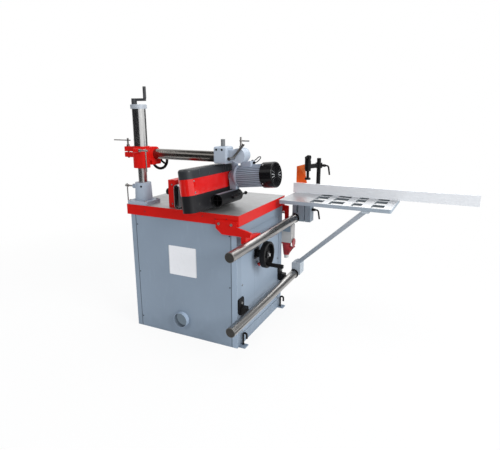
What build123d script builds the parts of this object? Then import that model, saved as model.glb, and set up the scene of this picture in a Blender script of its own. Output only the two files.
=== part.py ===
"""Spindle moulder with a sliding cross-cut table and an overarm power feeder.

Millimetres. X runs along the front of the cabinet, Y away from the operator, Z up.
The origin is on the floor, at the centre of the four anchor holes in the feet.
"""
from build123d import *
import math
import os

# Fits between pieces that move on each other, and small gaps
running_gap = 0.05
seat_gap = 0.05
slip_gap = 0.4
reach = 1.0

# Cabinet of folded sheet
wall_left = 371.0
wall_right = 402.0
cabinet_depth = 722.0
cabinet_sheet = 3.0
cabinet_flange = 42.0
floor_flange = 84.0
toe_gap = 12.0
seam_inset = 37.0
seam_width = 2.0
seam_depth = 1.0
corner_post = 60.0
panel_low = 70.0
panel_top_gap = 64.0
panel_recess = 2.0
panel_play = 2.0
tab_out = 45.0
tab_length = 48.0
tab_thick = 8.0
tab_inset = 17.0
anchor_radius = 6.5
anchor_x = 343.0
anchor_y = 332.0
anchor_pad = 54.0
dust_radius = 50.0
dust_wall = 3.0
dust_out = 30.0
dust_height = 118.0

# Lifting hooks in the feet
hook_rod = 6.5
hook_bend = 12.5
hook_stem = 69.0
hook_tip = 22.0
hook_from_wall = 17.0
hook_from_tab_middle = 8.0

# Main table casting
table_height = 850.0
table_rim = 66.0
table_plate = 25.0
rim_wall = 14.0
seat_rib = 22.0
overhang_left = 30.0
overhang_right = 17.0
overhang_front = 4.0
overhang_back = 4.0
table_corner = 5.0
spindle_x = -10.0
spindle_y = 0.0
throat_radius = 75.0
boss_radius = 90.0
boss_height = 125.0
guide_height = 62.0

# Quill, spindle and drive
quill_radius = 45.0
quill_top_below_table = 62.0
quill_length = 230.0
quill_plate = 18.0
spindle_radius = 15.0
spindle_seat_radius = 22.0
spindle_nose = 112.0
spindle_flange_radius = 32.0
spindle_flange = 10.0
spindle_edge = 2.0
pulley_radius = 40.0
pulley_height = 46.0
pulley_drop = 24.0
motor_pulley_radius = 52.0
drive_shaft_radius = 14.0
drive_shaft_play = 2.0
motor_edge = 14.0
motor_span = 235.0
motor_radius = 85.0
motor_height = 170.0
plate_margin = 10.0
plate_from_rack = 18.0
belt_width = 22.0
belt_thick = 7.0
belt_depth = 4.0

# Spindle lift: rack on the quill, pinion on the handwheel shaft
lift_module = 2.5
lift_teeth = 12
lift_rack_width = 24.0
lift_rack_length = 190.0
lift_rack_back = 14.0
lift_rack_overlap = 6.0
handwheel_y = -82.0
handwheel_drop = 306.0
handwheel_radius = 86.0
handwheel_rim = 15.0
handwheel_edge = 6.0
handwheel_depth = 36.0
handwheel_web = 10.0
handwheel_stand = 58.0
handwheel_hub = 24.0
handwheel_hub_sink = 8.0
lift_shaft_radius = 12.0
bearing_radius = 26.0
bearing_out = 50.0
bearing_plate = 62.0
bearing_plate_thick = 8.0
grip_radius = 13.0
grip_length = 123.0
grip_orbit = 66.0
grip_edge = 5.0

# Stop button beside the handwheel
button_y = -72.0
button_drop = 382.0
button_radius = 13.0
button_stem = 7.0
button_stand = 16.0
button_collar = 17.0
button_cap = 8.0
button_edge = 3.0
button_tail = 14.0

# Fence on the main table
fence_face_x = 10.0
profile_width = 40.0
profile_height = 150.0
profile_wall = 5.0
profile_bevel = 12.0
profile_length = 292.0
cutter_gap = 130.0
hood_width = 54.0
hood_height = 174.0
hood_length = 670.0
hood_sheet = 4.0
hood_window = 150.0
hood_window_top = 122.0
hood_edge = 3.0
knob_inset = 25.0
knob_rise = 96.0
knob_radius = 20.0
knob_length = 26.0
knob_screw = 6.0
knob_screw_length = 22.0
knob_edge = 5.0
knob_flutes = 6
knob_flute_orbit = 23.0
knob_flute = 6.0
knob_skirt = 8.0

# Round guide bars of the sliding table
bar_radius = 30.0
bar_length = 1165.0
bar_chamfer = 3.0
bar_x = 473.0
bar_drop = 177.0
bar_low = 231.0
saddle_half = 18.0
saddle_room = 5.0

# Brackets that hold the bars
bracket_plate = 12.0
bracket_left = 272.0
bracket_top_drop = 35.0
bracket_cut_drop = 83.0
bracket_cut = 42.0
bracket_low_drop = 118.0
bracket_tail = 497.0
bracket_tail_lean = 8.0
bracket_tail_drop = 88.0
bracket_arm_inset = 11.0
bracket_arm_drop = 67.0
bracket_ear_inset = 4.0
bracket_foot_left = 33.0
bracket_foot = 30.0
bracket_foot_depth = 207.0
bracket_foot_rise = 71.0
bracket_foot_tip = 35.0
front_bolt_first = 23.0
front_bolt_second = 106.0
bolt_row = 12.0
bracket_leg = 28.0
rear_bracket_left = 330.0
rear_low_drop = 116.0
rear_arm_drop = 76.0
rear_arm_fall = 4.0
rear_ear_inset = 8.0
rear_bolt_first = 18.0
rear_bolt_second = 62.0
low_plate_thick = 10.0
low_plate_width = 70.0
low_plate_below = 2.0
low_plate_above = 92.0
low_plate_edge = 8.0
low_arm_width = 40.0
low_arm_below = 14.0
low_arm_above = 40.0
low_bolt_rise = 62.0
low_front_y = -318.0
low_rear_y = 326.0

# Bolts of the brackets, the feeder stand and the side panel
bolt_radius = 5.0
bolt_head = 8.5
bolt_head_height = 6.5
bolt_shank = 32.0
bolt_play = 0.15

# Sliding table
plate_left = 445.0
plate_right = 1182.0
plate_front = 183.0
plate_back = 600.0
plate_thick = 24.0
plate_corner = 8.0
plate_web = 15.0
web_left = 632.0
web_right = 1160.0
web_front = 191.0
web_back = 568.0
slot_lengths = (80.0, 92.0, 62.0, 76.0)
slot_width = 98.0
slot_corner = 6.0
slot_first_x = 695.0
slot_step_x = 132.0
slot_first_y = 249.0
slot_step_y = 129.0
slot_rows = 3
carriage_left = 452.0
carriage_right = 590.0
carriage_low_drop = 200.0
carriage_y = 479.0
carriage_length = 78.0
carriage_slit = 5.0
carriage_slit_x = 546.0
carriage_lug = 30.0
carriage_gap = 15.0
carriage_gap_rise = 10.0
carriage_roof = 26.0
carriage_step = 20.0
carriage_step_roof = 14.0
carriage_cheek = 17.0
carriage_bridge = 16.0
ratchet_hub = 10.0
ratchet_hub_length = 24.0
ratchet_screw = 5.0
ratchet_handle = 6.0
ratchet_length = 66.0
carriage_lever_drop = 112.0
carriage_lever_screw = 56.0

# Strut from the outer end of the plate to the lower bar
shoe_y = 497.0
shoe_length = 86.0
shoe_left = 452.0
shoe_right = 520.0
shoe_below = 6.0
shoe_above = 88.0
shoe_edge = 6.0
strut_width = 30.0
strut_wall = 3.0
strut_low_x = 498.0
strut_high_x = 1026.0
strut_high_y = 207.0
strut_pad = 44.0
strut_pad_thick = 14.0

# Cross fence and hold-down on the sliding table
cross_fence_left = 430.0
cross_fence_right = 1670.0
cross_fence_front = 512.0
cross_fence_depth = 32.0
cross_fence_height = 70.0
cross_fence_wall = 4.0
guard_left = 440.0
guard_right = 510.0
guard_rise = 209.0
guard_low_rise = 12.0
guard_thick = 8.0
guard_slope = 22.0
guard_shoulder = 84.0
guard_lean = 4.0
guard_fall = 19.0
post_x = 599.0
post_y = 576.0
post_radius = 15.0
post_rise = 255.0
post_edge = 2.0
post_flange = 26.0
post_flange_height = 14.0
clamp_x = 551.0
clamp_y = 470.0
clamp_arm_rise = 202.0
clamp_arm_height = 30.0
clamp_arm_width = 22.0
clamp_collar = 25.0
clamp_body_radius = 21.0
clamp_body_drop = 32.0
clamp_body_rise = 40.0
clamp_collar_more = 4.0
clamp_rod = 10.0
clamp_pad_radius = 21.0
clamp_pad = 14.0
clamp_pad_drop = 94.0
clamp_pad_edge = 5.0
clamp_lever_play = 2.0
cam_radius = 16.0
cam_throw = 6.0
cam_width = 20.0
cam_pin = 5.0
cam_height = 24.0
cam_ear = 6.0
cam_ear_width = 20.0
cam_ear_height = 36.0
cam_ear_sink = 3.0
cam_handle_radius = 5.0
cam_handle_length = 84.0
cam_handle_out = 5.0
cam_handle_edge = 4.0
cam_handle_ball = 6.0
cam_neck = 10.0
cam_neck_less = 2.0
cam_start_gap = 0.7

# Switch box and mains inlet behind the cabinet
box_left = 250.0
box_right = 476.0
box_depth = 76.0
box_top_drop = 218.0
box_height = 135.0
box_sheet = 3.0
box_edge = 5.0
conduit_radius = 9.0
conduit_bend = 25.2
conduit_rise = 86.0
conduit_span = 54.0
conduit_from_wall = 36.0
conduit_x = 425.0
inlet_x = 428.0
inlet_flange = 72.0
inlet_flange_height = 10.0
inlet_flange_edge = 8.0
inlet_body = 34.0
inlet_height = 90.0
inlet_neck = 22.0
inlet_ring = 25.0
inlet_ring_radius = 17.0
socket_lean = 60.0
socket_drop = 38.0
collar_radius = 31.0
collar_wall = 5.0
collar_length = 40.0
collar_depth = 32.0
lid_thick = 5.0
lid_hinge = 3.0
lid_play = 1.5
lid_ear = 12.0
lid_neck = 20.0
lid_rise = 6.0
lid_pin = 6.0
lid_eye = 2.5
lid_root = 6.0
lid_web = 9.0

# Stand of the power feeder
stand_x = -320.0
stand_y = -284.0
base_plate = 154.0
base_plate_thick = 22.0
base_plate_corner = 12.0
base_floor = 6.0
base_foot_radius = 56.0
base_neck_radius = 51.0
base_height = 136.0
base_bolt_inset = 17.0
base_lug_radius = 15.0
base_lug_out = 30.0
base_lug_drop = 30.0
tee_screw = 6.0
tee_bar = 4.0
tee_end = 2.0
tee_head = 22.0
tee_head_more = 3.0
base_tee_out = 146.0
base_plug = 7.0
base_plug_turn = 22.0
base_plug_rise = 8.0
base_tee_bar_top = 14.0
base_tee_bar_length = 134.0
post_tube_radius = 28.0
post_tube_rise = 570.0
screw_offset = 32.0
screw_radius = 5.5
screw_groove = 18.0
screw_groove_play = 1.5
screw_groove_start = 60.0
screw_above_tube = 6.0
nut_height = 30.0
tube_radius = 43.0
tube_wall = 5.0
tube_drop = 14.0
tube_rise = 284.0
cap_radius = 51.0
cap_edge = 3.0
cap_height = 26.0
crank_hub_radius = 17.0
crank_hub_height = 36.0
crank_arm_width = 16.0
crank_arm_height = 16.0
crank_throw = 84.0
crank_grip_radius = 10.0
crank_grip_length = 70.0
crank_grip_edge = 3.0

# Red cross clamp on the stand, and the overarm
sleeve_radius = 53.0
sleeve_drop = 82.0
sleeve_rise = 54.0
sleeve_bridge = 6.0
arm_offset = 92.0
arm_radius = 33.0
arm_wall = 8.0
arm_rise = 314.0
arm_left = -395.0
arm_right = 262.0
arm_sleeve_radius = 47.0
arm_sleeve_left = -388.0
arm_sleeve_right = -276.0
lug_out = 122.0
lug_width = 34.0
lug_drop = 18.0
lug_rise = 50.0
lug_edge = 6.0
lug_slit = 6.0
lug_root = 4.0
lug_stud_out = 104.0
arm_tee_rise = 52.0
arm_tee_end = 6.0
arm_tee_collar = 12.0
arm_tee_collar_more = 4.0
arm_tee_bar_drop = 14.0
arm_tee_bar_left = 113.0
arm_tee_bar_right = 20.0
column_lever_y = -349.0
column_lever_rise = 32.0
column_boss = 15.0
column_boss_left = -322.0
column_boss_right = -286.0
column_lever_right = -218.0
column_bar_x = -233.0
column_bar_length = 142.0
column_bar_top = 12.0
column_lever_end = 4.0
column_lever_collar = 14.0

# Rack feed of the overarm
arm_module = 1.5
arm_teeth = 18
arm_rack_depth = 31.0
arm_rack_left = -365.0
arm_rack_right = -205.0
pinion_x = -300.0
pinion_width = 20.0
pinion_shaft = 8.0
pinion_block = 50.0
pinion_block_drop = 68.0
pinion_shaft_end = 4.0
arm_wheel_radius = 60.0
arm_wheel_rim = 9.0
arm_wheel_hub = 16.0
arm_wheel_gap = 12.0
arm_wheel_spokes = 3
arm_wheel_spoke = 12.0
arm_wheel_spoke_thick = 7.0

# Knuckle at the end of the overarm
knuckle_left = 185.0
knuckle_right = 275.0
knuckle_half = 48.0
knuckle_drop = 38.0
knuckle_rise = 64.0
knuckle_edge = 12.0
knuckle_web = 56.0
knuckle_web_height = 66.0
knuckle_screw = 7.0
knuckle_screw_depth = 14.0
knuckle_screw_step = 38.0
knuckle_screw_inset = 22.0
knuckle_screw_drop = 18.0
stub_x = 228.0
stub_radius = 13.0
stub_rise = 106.0
disc_x = 340.0
disc_rise = 12.0
disc_radius = 44.0
disc_front = -215.0
disc_back = -135.0
pin_sleeve_radius = 34.0
pin_sleeve_low = 108.0
pin_sleeve_high = 178.0
knuckle_lever_x = 313.0
knuckle_lever_drop = 1.0
knuckle_lever_hub = 10.0
knuckle_lever_length = 66.0
knuckle_lever_rod = 8.0
knuckle_lever_reach = 112.0
knuckle_lever_angle = 40.0
lever_hole = 12.0
tilt_lever_y = -175.0
tilt_lever_rise = 64.0
tilt_bar_left = 8.0
tilt_bar_right = 54.0
tilt_bar_drop = 22.0

# Power feeder, in its own frame: n outwards, l along the feed, u up
feeder_x = 160.0
feeder_y = -294.0
feeder_drop = 153.0
feeder_heading = 3.5
feeder_roll = 6.5
casing_near = -215.0
casing_far = 265.0
casing_width = 90.0
casing_near_corner = 36.0
casing_far_corner = 20.0
casing_wall = 4.0
casing_low = -144.0
casing_top = 105.0
casing_dome = 16.0
band_low = -44.0
band_high = 49.0
band_proud = 1.6
band_wall = 5.0
roller_radius = 50.0
roller_width = 60.0
roller_edge = 4.0
roller_hub_radius = 28.0
roller_hub_inset = 4.0
roller_u = -100.0
roller_step = 112.0
roller_count = 4
roller_axle = 8.0
axle_inset = 1.0
neck_radius = 36.0
bell_radius = 68.0
drum_n = 88.0
drum_u = -101.0
drum_radius = 38.0
drum_wall = 4.0
drum_near = -28.0
drum_far = 212.0
drum_pocket = 60.0
drum_web = 44.0
drum_web_near = 172.0
grille_bar = 3.0
grille_inset = 3.0
pin_n = 82.5
pin_l = 225.0
pin_radius = 21.0
pin_low = 20.0
pin_top = 172.0
feeder_motor_l = 225.0
feeder_motor_u = 10.0
feeder_motor_near = 105.0
feeder_motor_length = 185.0
feeder_motor_radius = 62.0
feeder_motor_flange = 12.0
fin_height = 8.0
fin_root = 4.0
fin_thick = 3.2
fin_count = 34
terminal_length = 77.0
terminal_width = 60.0
terminal_height = 22.0
terminal_from_flange = 34.0
terminal_sink = 10.0
terminal_corner = 6.0
fan_radius = 79.0
fan_length = 80.0
fan_wall = 3.0
fan_edge = 8.0
fan_mouth = 56.0
fan_slots = 18
fan_slot_width = 5.0
fan_slot_inner = 22.0
fan_slot_outer = 66.0
cable_radius = 3.0
cable_share = 0.45
speed_pivot_l = 86.0
speed_hub = 9.0
speed_hub_length = 16.0
speed_rod = 5.0
speed_length = 150.0
speed_knob = 11.0
speed_angle = 2.0

# Values worked out from the driving dimensions
half_depth = cabinet_depth / 2
cabinet_top = table_height - table_rim
panel_high = cabinet_top - panel_top_gap
table_left = -wall_left - overhang_left
table_right = wall_right + overhang_right
table_front = -half_depth - overhang_front
table_back = half_depth + overhang_back
plate_under = table_height - table_plate
slide_under = table_height - plate_thick
panel_face = wall_right - panel_recess
handwheel_x = panel_face + handwheel_stand
handwheel_z = table_height - handwheel_drop
button_z = table_height - button_drop
knob_y = -hood_length / 2 + knob_inset
knob_z = table_height + knob_rise
bar_high = table_height - bar_drop
bracket_top = table_height - bracket_top_drop
bracket_low = table_height - bracket_low_drop
carriage_low = table_height - carriage_low_drop
carriage_lever_z = table_height - carriage_lever_drop
box_high = table_height - box_top_drop
box_low = box_high - box_height
shoe_low = bar_low - shoe_below
shoe_high = bar_low + shoe_above
guard_low = table_height + guard_low_rise
guard_top = table_height + guard_rise
post_top = table_height + post_rise
clamp_arm_z = table_height + clamp_arm_rise
clamp_body_low = clamp_arm_z - clamp_body_drop
clamp_body_high = clamp_arm_z + clamp_body_rise
clamp_pad_z = clamp_arm_z - clamp_pad_drop
quill_top = table_height - quill_top_below_table
quill_low = quill_top - quill_length
pulley_top = quill_low - pulley_drop
pulley_low = pulley_top - pulley_height
arm_y = stand_y + arm_offset
arm_z = table_height + arm_rise
post_tube_top = table_height + post_tube_rise
tube_low = arm_z - tube_drop
tube_high = arm_z + tube_rise
screw_low = tube_low + screw_above_tube
sleeve_low = arm_z - sleeve_drop
sleeve_high = arm_z + sleeve_rise
lug_low = arm_z - lug_drop
lug_high = arm_z + lug_rise
column_lever_z = arm_z + column_lever_rise
pinion_block_low = arm_z - pinion_block_drop
knuckle_low = arm_z - knuckle_drop
knuckle_high = arm_z + knuckle_rise
stub_top = arm_z + stub_rise
disc_z = arm_z + disc_rise
knuckle_lever_z = arm_z - knuckle_lever_drop
feeder_z = arm_z - feeder_drop
feeder_place = Pos(feeder_x, feeder_y, feeder_z)
feeder_place *= Rotation(0, 0, -feeder_heading) * Rotation(0, -feeder_roll, 0)
TURNS = {"X": Rotation(0, 90, 0), "Y": Rotation(90, 0, 0), "Z": Rotation(0, 0, 0)}


def block(x0, x1, y0, y1, z0, z1):
    """A box between two corners."""
    return Pos((x0 + x1) / 2, (y0 + y1) / 2, (z0 + z1) / 2) * Box(x1 - x0, y1 - y0, z1 - z0)


def rod(axis, start, end, a, b, radius):
    """A round bar along one axis; a and b are its place on the other two, in X, Y, Z order."""
    middle = (start + end) / 2
    centre = {"X": (middle, a, b), "Y": (a, middle, b), "Z": (a, b, middle)}[axis]
    return Pos(*centre) * TURNS[axis] * Cylinder(radius, end - start)


def cone(low, high, a, b, low_radius, high_radius):
    """An upright cone frustum."""
    return Pos(a, b, (low + high) / 2) * Cone(low_radius, high_radius, high - low)


def rounded(shape, axis, radius):
    """Round the edges of a shape that run along one axis."""
    return fillet(shape.edges().filter_by({"X": Axis.X, "Y": Axis.Y, "Z": Axis.Z}[axis]), radius)


def prism_xz(points, y0, y1):
    """A plate cut to an outline in the XZ plane, between two Y values."""
    outline = make_face(Polyline([(x, y0, z) for x, z in points], close=True))
    return extrude(outline, y1 - y0, dir=(0, 1, 0))


def bent_rod(points, radius, bends):
    """A rod bent along a polyline with the given bend radii."""
    path = FilletPolyline(points, radius=bends)
    start = Plane(origin=path @ 0, z_dir=path % 0)
    return sweep(start * Circle(radius), path=path)


def bolt(place):
    """A hexagon bolt; its head stands on the local XY plane and its shank goes down."""
    head = extrude(RegularPolygon(bolt_head, 6), bolt_head_height)
    shank = Pos(0, 0, -bolt_shank / 2) * Cylinder(bolt_radius, bolt_shank)
    return place * (head + shank)


def bolt_hole(place):
    """The hole for one bolt."""
    return place * (Pos(0, 0, -bolt_shank / 2) * Cylinder(bolt_radius + bolt_play, bolt_shank + 2 * reach))


def spur_teeth(module, teeth, width):
    """A spur pinion about the local Z axis, with a tooth towards local +Y."""
    pitch_radius = module * teeth / 2
    root = pitch_radius - 1.2 * module
    tip = pitch_radius + 0.8 * module
    half_root = 0.25 * math.pi * module
    half_tip = 0.10 * math.pi * module
    tooth = make_face(Polyline((-half_root, root * 0.8), (half_root, root * 0.8),
                               (half_tip, tip), (-half_tip, tip), close=True))
    wheel = Circle(root)
    for number in range(teeth):
        wheel += Rotation(0, 0, 360.0 / teeth * number) * tooth
    return Pos(0, 0, -width / 2) * extrude(wheel, width)


def rack_gap(module, width):
    """The gap between two rack teeth; local X along the rack, local Y into it, from the pitch line."""
    half = 0.30 * math.pi * module
    flank = math.tan(math.radians(20.0)) * module
    mouth = half + 2.0 * flank
    floor = half - 1.1 * flank
    gap = make_face(Polyline((-mouth, -2.0 * module), (mouth, -2.0 * module),
                             (floor, 1.1 * module), (-floor, 1.1 * module), close=True))
    return Pos(0, 0, -width / 2) * extrude(gap, width)


def ratchet_lever(x, y, z, screw):
    """A clamping lever that turns about X: hub, screw into the work and a bent handle."""
    lever = rod("X", x, x + ratchet_hub_length, y, z, ratchet_hub)
    lever += rod("X", x - screw, x + reach, y, z, ratchet_screw)
    knee = x + ratchet_hub_length + ratchet_length / 3
    lever += bent_rod([(x + ratchet_hub_length / 2, y, z), (knee, y, z),
                       (knee + ratchet_length / 6, y, z - ratchet_length)], ratchet_handle,
                      ratchet_length / 4)
    return lever


def in_feeder(shape):
    """Put a shape made in the feeder's own frame in its place."""
    return feeder_place * shape


def save(name, shape):
    """Write one node."""
    export_step(shape, os.path.join("parts", name + ".step"))


os.makedirs("parts", exist_ok=True)

# Bolt places: the head's seat and the way the head points
tab_middle = half_depth - tab_inset - tab_length / 2
rim_bolt_z = cabinet_top + bolt_row
front_bolts = [Plane((x, table_front - bracket_plate, rim_bolt_z), z_dir=(0, -1, 0))
               for x in (bracket_left + front_bolt_first, bracket_left + front_bolt_second)]
rear_bolts = [Plane((x, table_back + bracket_plate, rim_bolt_z), z_dir=(0, 1, 0))
              for x in (rear_bracket_left + rear_bolt_first, rear_bracket_left + rear_bolt_second)]
low_bolts = [Plane((wall_right + low_plate_thick, y, bar_low + low_bolt_rise), z_dir=(1, 0, 0))
             for y in (low_front_y, low_rear_y)]
base_reach = base_plate / 2 - base_bolt_inset
base_bolts = [Plane((stand_x + a * base_reach, stand_y + b * base_reach, table_height + base_plate_thick))
              for a in (-1, 1) for b in (-1, 1)]
bolt_planes = [Location(plane) for plane in front_bolts + rear_bolts + low_bolts + base_bolts]
bolt_holes = [bolt_hole(place) for place in bolt_planes]

# Cabinet: folded walls with open top, floor and right side, corner pads, two feet and a dust spigot
cabinet = block(-wall_left, wall_right, -half_depth, half_depth, 0, cabinet_top)
cabinet -= block(-wall_left + cabinet_sheet, wall_right - cabinet_sheet, -half_depth + cabinet_sheet,
                 half_depth - cabinet_sheet, cabinet_sheet, cabinet_top - cabinet_sheet)
cabinet -= block(-wall_left + cabinet_flange, wall_right - cabinet_flange, -half_depth + cabinet_flange,
                 half_depth - cabinet_flange, cabinet_top / 2, cabinet_top + reach)
cabinet -= block(-wall_left + floor_flange, wall_right - floor_flange, -half_depth + floor_flange,
                 half_depth - floor_flange, -reach, cabinet_top / 2)
cabinet -= block(wall_right - cabinet_sheet - reach, wall_right + reach, -half_depth + corner_post,
                 half_depth - corner_post, panel_low, panel_high)
for seam in (-wall_left + seam_inset, wall_right - seam_inset):
    cabinet -= block(seam - seam_width / 2, seam + seam_width / 2, -half_depth - reach,
                     -half_depth + seam_depth, -reach, cabinet_top + reach)
cabinet -= block(-wall_left + seam_inset, wall_right - seam_inset, -half_depth - reach,
                 -half_depth + seam_depth, -reach, toe_gap)
cabinet += rod("Y", -half_depth - dust_out, -half_depth + cabinet_sheet, 0, dust_height, dust_radius)
cabinet -= rod("Y", -half_depth - dust_out - reach, -half_depth + cabinet_sheet + reach, 0, dust_height,
               dust_radius - dust_wall)
for end in (-1, 1):
    cabinet += block(wall_right - cabinet_sheet, wall_right + tab_out, end * tab_middle - tab_length / 2,
                     end * tab_middle + tab_length / 2, 0, tab_thick)
    for side in (-1, 1):
        cabinet += block(side * anchor_x - anchor_pad / 2, side * anchor_x + anchor_pad / 2,
                         end * anchor_y - anchor_pad / 2, end * anchor_y + anchor_pad / 2, 0, tab_thick)
        cabinet -= rod("Z", -reach, tab_thick + reach, side * anchor_x, end * anchor_y, anchor_radius)
for hole in bolt_holes:
    cabinet -= hole
save("cabinet_shell", cabinet)

# Side panel with the bearing of the handwheel shaft and the collar of the stop button
panel = block(panel_face - cabinet_sheet, panel_face, -half_depth + corner_post + panel_play,
              half_depth - corner_post - panel_play, panel_low + panel_play, panel_high - panel_play)
panel += block(panel_face, panel_face + bearing_plate_thick, handwheel_y - bearing_plate / 2,
               handwheel_y + bearing_plate / 2, handwheel_z - bearing_plate / 2,
               handwheel_z + bearing_plate / 2)
panel += rod("X", panel_face - bearing_out / 2, panel_face + bearing_out, handwheel_y, handwheel_z,
             bearing_radius)
panel += rod("X", panel_face, panel_face + button_stand / 2, button_y, button_z, button_collar)
panel -= rod("X", panel_face - bearing_out, panel_face + 2 * bearing_out, handwheel_y, handwheel_z,
             lift_shaft_radius + running_gap)
panel -= rod("X", panel_face - bearing_out, panel_face + bearing_out, button_y, button_z,
             button_stem + running_gap)
for hole in bolt_holes:
    panel -= hole
save("side_panel", panel)

# Stop button: a red cap on a stem through the collar
button_back = panel_face + button_stand
button = rod("X", button_back, button_back + button_cap, button_y, button_z, button_radius)
button = fillet(button.edges().sort_by(Axis.X)[-1], button_edge)
button += rod("X", panel_face - button_tail, button_back + reach, button_y, button_z, button_stem)
save("stop_button", button)

# Lifting hooks: bent rods standing on the two feet
hooks = []
for end in (-1, 1):
    x = wall_right + hook_from_wall
    y = end * (tab_middle - hook_from_tab_middle)
    bend_z = tab_thick + hook_stem
    far = x + 2 * hook_bend
    path = Line((x, y, tab_thick), (x, y, bend_z))
    path += ThreePointArc((x, y, bend_z), (x + hook_bend, y, bend_z + hook_bend), (far, y, bend_z))
    path += Line((far, y, bend_z), (far, y, bend_z - hook_tip))
    hooks.append(sweep(Plane((x, y, tab_thick)) * Circle(hook_rod), path=path))
save("lifting_hooks", Compound(children=hooks))

# Main table: ground plate, painted rim, seat ribs and the guide of the quill
table = block(table_left, table_right, table_front, table_back, cabinet_top, table_height)
table = rounded(table, "Z", table_corner)
table -= block(table_left + rim_wall, table_right - rim_wall, table_front + rim_wall, table_back - rim_wall,
               cabinet_top - reach, plate_under)
ribs = block(-wall_left, table_right - rim_wall + reach, -half_depth + rim_wall, half_depth - rim_wall,
             cabinet_top, plate_under)
ribs -= block(-wall_left + seat_rib, wall_right - seat_rib, -half_depth + rim_wall + seat_rib,
              half_depth - rim_wall - seat_rib, cabinet_top - reach, plate_under + reach)
table += ribs
table += rod("Z", plate_under - boss_height, plate_under, spindle_x, spindle_y, boss_radius)
table -= rod("Z", plate_under - boss_height + guide_height, table_height + reach, spindle_x, spindle_y,
             throat_radius)
table -= rod("Z", plate_under - boss_height - reach, table_height, spindle_x, spindle_y,
             quill_radius + running_gap)
for hole in bolt_holes:
    table -= hole
save("main_table", table)

# Quill with its motor plate and the lift rack, cut with gaps for the pinion
rack_pitch_y = handwheel_y + lift_module * lift_teeth / 2
motor_x = spindle_x - motor_span
rack_left = spindle_x - lift_rack_width / 2
rack_right = spindle_x + lift_rack_width / 2
rack_low = handwheel_z - lift_rack_length / 2
rack_high = handwheel_z + lift_rack_length / 2
rack_tip = rack_pitch_y - 0.8 * lift_module
quill = rod("Z", quill_low, quill_top, spindle_x, spindle_y, quill_radius)
plate = block(motor_x - motor_radius - plate_margin, rack_left - plate_from_rack,
              spindle_y - motor_radius - plate_margin, spindle_y + motor_radius + plate_margin,
              quill_low, quill_low + quill_plate)
quill += rounded(plate, "Z", quill_plate)
quill += block(motor_x, spindle_x, spindle_y - quill_radius, spindle_y + quill_radius, quill_low,
               quill_low + quill_plate)
rack = block(rack_left, rack_right, rack_tip, rack_pitch_y + lift_rack_back, rack_low, rack_high)
rack += block(rack_left, rack_right, rack_tip, spindle_y - quill_radius + lift_rack_overlap, quill_low,
              rack_high)
rack_pitch = math.pi * lift_module
gap = rack_gap(lift_module, 2 * lift_rack_width)
gap_count = int(lift_rack_length / rack_pitch / 2)
for number in range(-gap_count, gap_count + 1):
    middle = (spindle_x, rack_pitch_y, handwheel_z + number * rack_pitch)
    rack -= Location(Plane(middle, x_dir=(0, 0, -1), z_dir=(1, 0, 0))) * gap
quill += rack
quill -= rod("Z", quill_low - reach, quill_top + reach, spindle_x, spindle_y,
             spindle_seat_radius + running_gap)
quill -= rod("Z", quill_low - reach, quill_low + quill_plate + reach, motor_x, spindle_y,
             drive_shaft_radius + drive_shaft_play)
save("quill", quill)

# Spindle: tool nose above, journal in the quill, pulley seat below
spindle_top = quill_top + spindle_flange + spindle_nose
spindle = rod("Z", pulley_low, quill_top + spindle_flange, spindle_x, spindle_y, spindle_seat_radius)
spindle += rod("Z", quill_top + slip_gap, quill_top + slip_gap + spindle_flange, spindle_x, spindle_y,
               spindle_flange_radius)
nose = rod("Z", quill_top, spindle_top, spindle_x, spindle_y, spindle_radius)
spindle += chamfer(nose.edges().sort_by(Axis.Z)[-1], spindle_edge)
save("spindle_shaft", spindle)


def grooved_pulley(x, radius, bore):
    """A flat pulley with two shallow grooves for the belt."""
    wheel = rod("Z", pulley_low, pulley_top, x, spindle_y, radius)
    belt_low = (pulley_low + pulley_top - belt_width) / 2
    wheel -= rod("Z", belt_low, belt_low + belt_width, x, spindle_y, radius + reach) - rod(
        "Z", belt_low, belt_low + belt_width, x, spindle_y, radius - belt_depth)
    return wheel - rod("Z", pulley_low - reach, pulley_top + reach, x, spindle_y, bore)


save("spindle_pulley", grooved_pulley(spindle_x, pulley_radius, spindle_seat_radius))

# Drive motor hanging from the quill plate, its pulley and the flat belt
motor_low = quill_low + quill_plate
motor = rod("Z", motor_low, motor_low + motor_height, motor_x, spindle_y, motor_radius)
motor = fillet(motor.edges().sort_by(Axis.Z)[-1], motor_edge)
motor += rod("Z", pulley_low, motor_low + reach, motor_x, spindle_y, drive_shaft_radius - running_gap)
save("drive_motor", motor)
save("motor_pulley", grooved_pulley(motor_x, motor_pulley_radius, drive_shaft_radius))


def belt_loop(extra):
    """The flat outline round both pulleys, grown by extra."""
    small = pulley_radius - belt_depth + slip_gap + extra
    large = motor_pulley_radius - belt_depth + slip_gap + extra
    lean = math.asin((large - small) / motor_span)
    up = Vector(math.sin(lean), math.cos(lean), 0)
    down = Vector(math.sin(lean), -math.cos(lean), 0)
    one = Vector(spindle_x, spindle_y, 0)
    two = Vector(motor_x, spindle_y, 0)
    edges = [Line(two + up * large, one + up * small), Line(one + down * small, two + down * large)]
    edges.append(ThreePointArc(one + up * small, one + Vector(small, 0, 0), one + down * small))
    edges.append(ThreePointArc(two + down * large, two - Vector(large, 0, 0), two + up * large))
    return make_face(edges)


belt_z = (pulley_low + pulley_top - belt_width) / 2 + slip_gap
belt = extrude(belt_loop(belt_thick) - belt_loop(0), belt_width - 2 * slip_gap)
save("drive_belt", Pos(0, 0, belt_z) * belt)

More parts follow.
